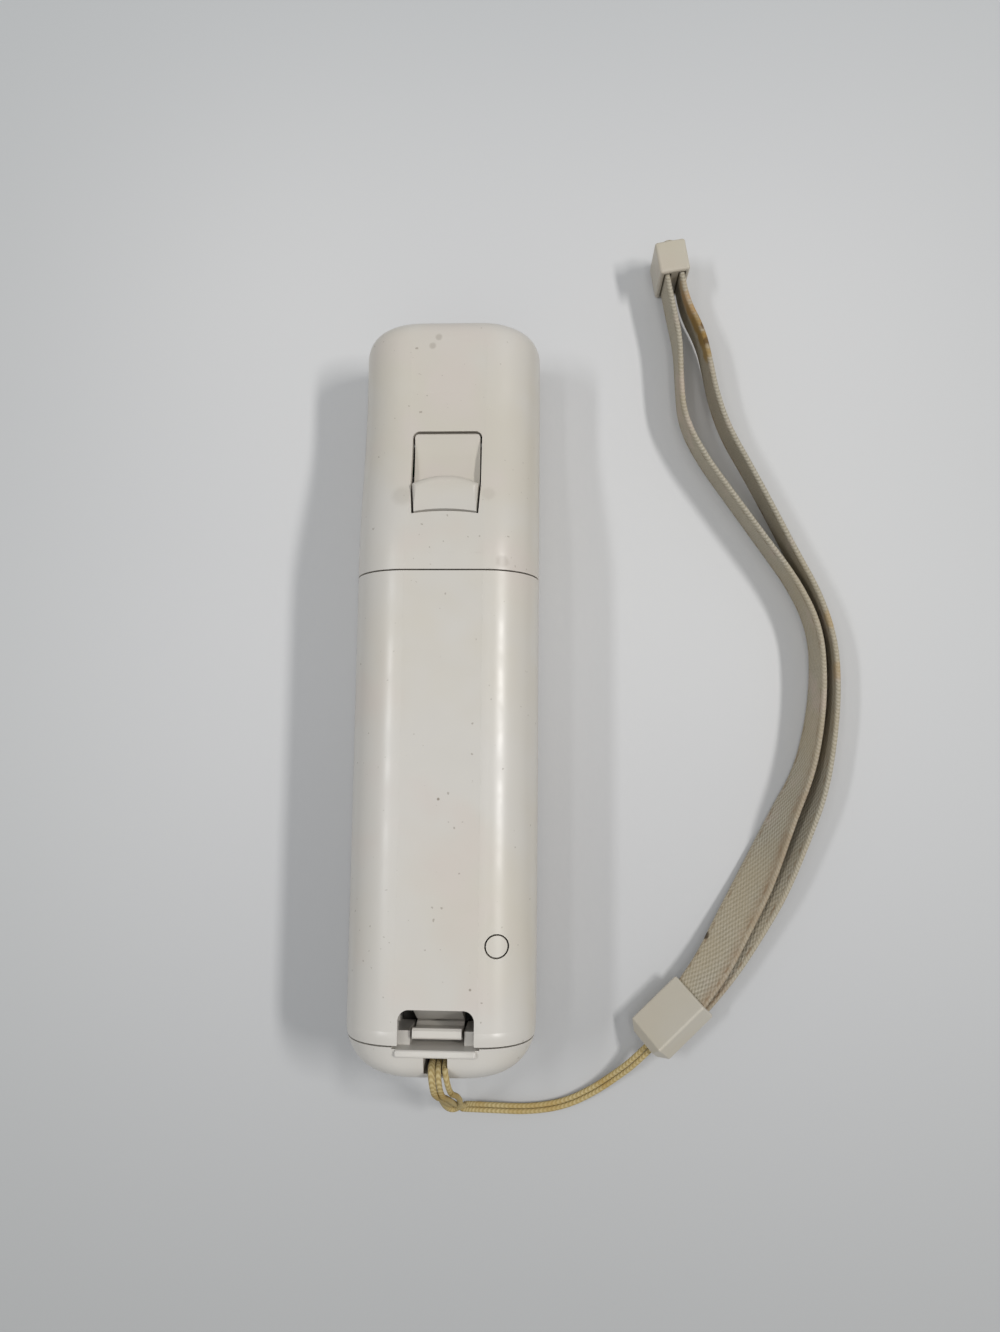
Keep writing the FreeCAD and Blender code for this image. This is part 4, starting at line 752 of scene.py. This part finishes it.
def floor():
    """A plain pale floor with painted shade that darkens it slowly away from the object, melting
    into the background far from it.
    """
    mesh = bpy.data.meshes.new("floor")
    half = floor_size / 2
    corners = [(-half, -half, 0), (half, -half, 0), (half, half, 0), (-half, half, 0)]
    mesh.from_pydata(corners, [], [(0, 1, 2, 3)])
    piece = bpy.data.objects.new("floor", mesh)
    bpy.context.scene.collection.objects.link(piece)
    s = Shader("floor_paint")
    axes = s.axes(s.place())
    base = s.mix(s.ramp(s.noise(4, 2.0), 0.35, 0.65), colour(*floor_pale), colour(*floor_cool))
    # painted shade: the floor darkens slowly away from the object
    for axis, start, end, tint in floor_painted_shade:
        base = s.mix(s.ramp(axes[axis], start, end), base, colour(*tint))
    s.set("Base Color", base)
    s.set("Roughness", 0.8)
    s.set("Specular IOR Level", 0.2)
    far = s.ramp(s.length(s.place()), *floor_melt)
    far = s.math("MULTIPLY", far, seen_directly(s.nodes, s.links))
    glow = s.nodes.new("ShaderNodeEmission")
    glow.inputs["Color"].default_value = colour(*background_tone)
    melt = s.nodes.new("ShaderNodeMixShader")
    s.links.new(far, melt.inputs[0])
    s.links.new(s.main.outputs["BSDF"], melt.inputs[1])
    s.links.new(glow.outputs["Emission"], melt.inputs[2])
    s.links.new(melt.outputs["Shader"], s.nodes["Material Output"].inputs["Surface"])
    mesh.materials.append(s.material)


def area_light(name, place, size, power, tint=(1, 1, 1)):
    """A soft rectangular light aimed at the origin."""
    data = bpy.data.lights.new(name, "AREA")
    data.shape = "RECTANGLE"
    data.size, data.size_y = size
    data.energy = power
    data.color = tint
    light = bpy.data.objects.new(name, data)
    light.location = place
    light.rotation_euler = (-Vector(place)).to_track_quat("-Z", "Y").to_euler()
    bpy.context.scene.collection.objects.link(light)


def lights():
    """A narrow lamp on each side, the stronger one on the right, and two strips above."""
    area_light("right_lamp", (0.80, 0.08, lamp_height), lamp_size, 7.7, (1.0, 0.985, 0.965))
    area_light("left_lamp", (-0.70, 0.06, lamp_height), lamp_size, 3.2, (0.97, 0.985, 1.0))
    area_light("right_strip", (0.15, 0.0, strip_height), strip_size, 0.7)
    area_light("left_strip", (-0.28, 0.0, strip_height), strip_size, 0.55)


def sky():
    """A weak even light from all round, and the pale background that the camera sees."""
    world = bpy.data.worlds.new("sky")
    world.use_nodes = True
    nodes, links = world.node_tree.nodes, world.node_tree.links
    light = nodes["Background"]
    light.inputs["Color"].default_value = sky_tint
    light.inputs["Strength"].default_value = sky_strength
    backdrop = nodes.new("ShaderNodeBackground")
    backdrop.inputs["Color"].default_value = colour(*background_tone)
    choice = nodes.new("ShaderNodeMixShader")
    links.new(seen_directly(nodes, links), choice.inputs[0])
    links.new(light.outputs["Background"], choice.inputs[1])
    links.new(backdrop.outputs["Background"], choice.inputs[2])
    links.new(choice.outputs["Shader"], nodes["World Output"].inputs["Surface"])
    bpy.context.scene.world = world


def camera():
    """The camera at the photograph's place."""
    data = bpy.data.cameras.new("camera")
    data.lens = camera_lens
    data.sensor_width = sensor_width
    data.sensor_fit = "AUTO"
    data.clip_start, data.clip_end = clip_range
    piece = bpy.data.objects.new("camera", data)
    piece.location = camera_place
    piece.rotation_euler = [math.radians(a) for a in camera_turn]
    bpy.context.scene.collection.objects.link(piece)
    bpy.context.scene.camera = piece
    bpy.context.scene.view_settings.view_transform = "Standard"


# CAD nodes that stay, and the material of each slot

def dress_nodes():
    """Gives every CAD node the material of its slot. The strap's cords get their own pieces."""
    slot_materials = {
        "shell_white": body_plastic("shell_plastic", (201, 197, 190), True),
        "trigger_white": body_plastic("trigger_plastic", (198, 194, 187)),
        "key_clear_grey": clear_key("key_plastic", (186, 190, 194)),
        "key_white": clear_key("white_key_plastic", (212, 210, 205)),
        "key_red": clear_key("red_key_plastic", (196, 48, 40)),
        "window_dark": window_glass("window_filter"),
        "lens_glass": lens_glass("lens_coating"),
        "clear_plastic": clear_key("lamp_plastic", (206, 214, 220)),
        "board_green": board_lacquer("board_lacquer"),
        "chip_black": plain_plastic("chip_resin", (30, 30, 32), 0.5),
        "socket_grey": plain_plastic("socket_plastic", (118, 118, 120), 0.45),
        "dome_rubber": plain_plastic("dome_rubber", (150, 150, 152), 0.7),
        "tin_steel": metal("tinned_steel", (200, 200, 198)),
        "gold_contact": metal("gold_plating", (222, 184, 96), 0.22),
        "spring_steel": metal("spring_wire", (190, 190, 190), 0.25),
        "cell_sleeve": cell_label("cell_sleeve"),
        "speaker_black": speaker_mesh("speaker_cloth"),
        "strap_plastic": body_plastic("strap_plastic", (189, 183, 170)),
        "string_yellowed": None,
        "webbing_offwhite": None,
    }
    for part in frame["record"]["subparts"]:
        material = slot_materials[part["material_slot"]]
        node = frame["nodes"][part["node"]]
        if material is None:
            continue
        node.data.materials.clear()
        node.data.materials.append(material)


camera()
lights()
sky()
floor()
dress_nodes()
string, string_line = strap_string()

inner_leg, inner_line = webbing_leg("webbing_inner", inner_leg_route, "strap_webbing_inner",
                                    inner_stains, inner_soiled_reach)
outer_leg, outer_line = webbing_leg("webbing_outer", outer_leg_route, "strap_webbing_outer",
                                    outer_stains, outer_soiled_reach, True)
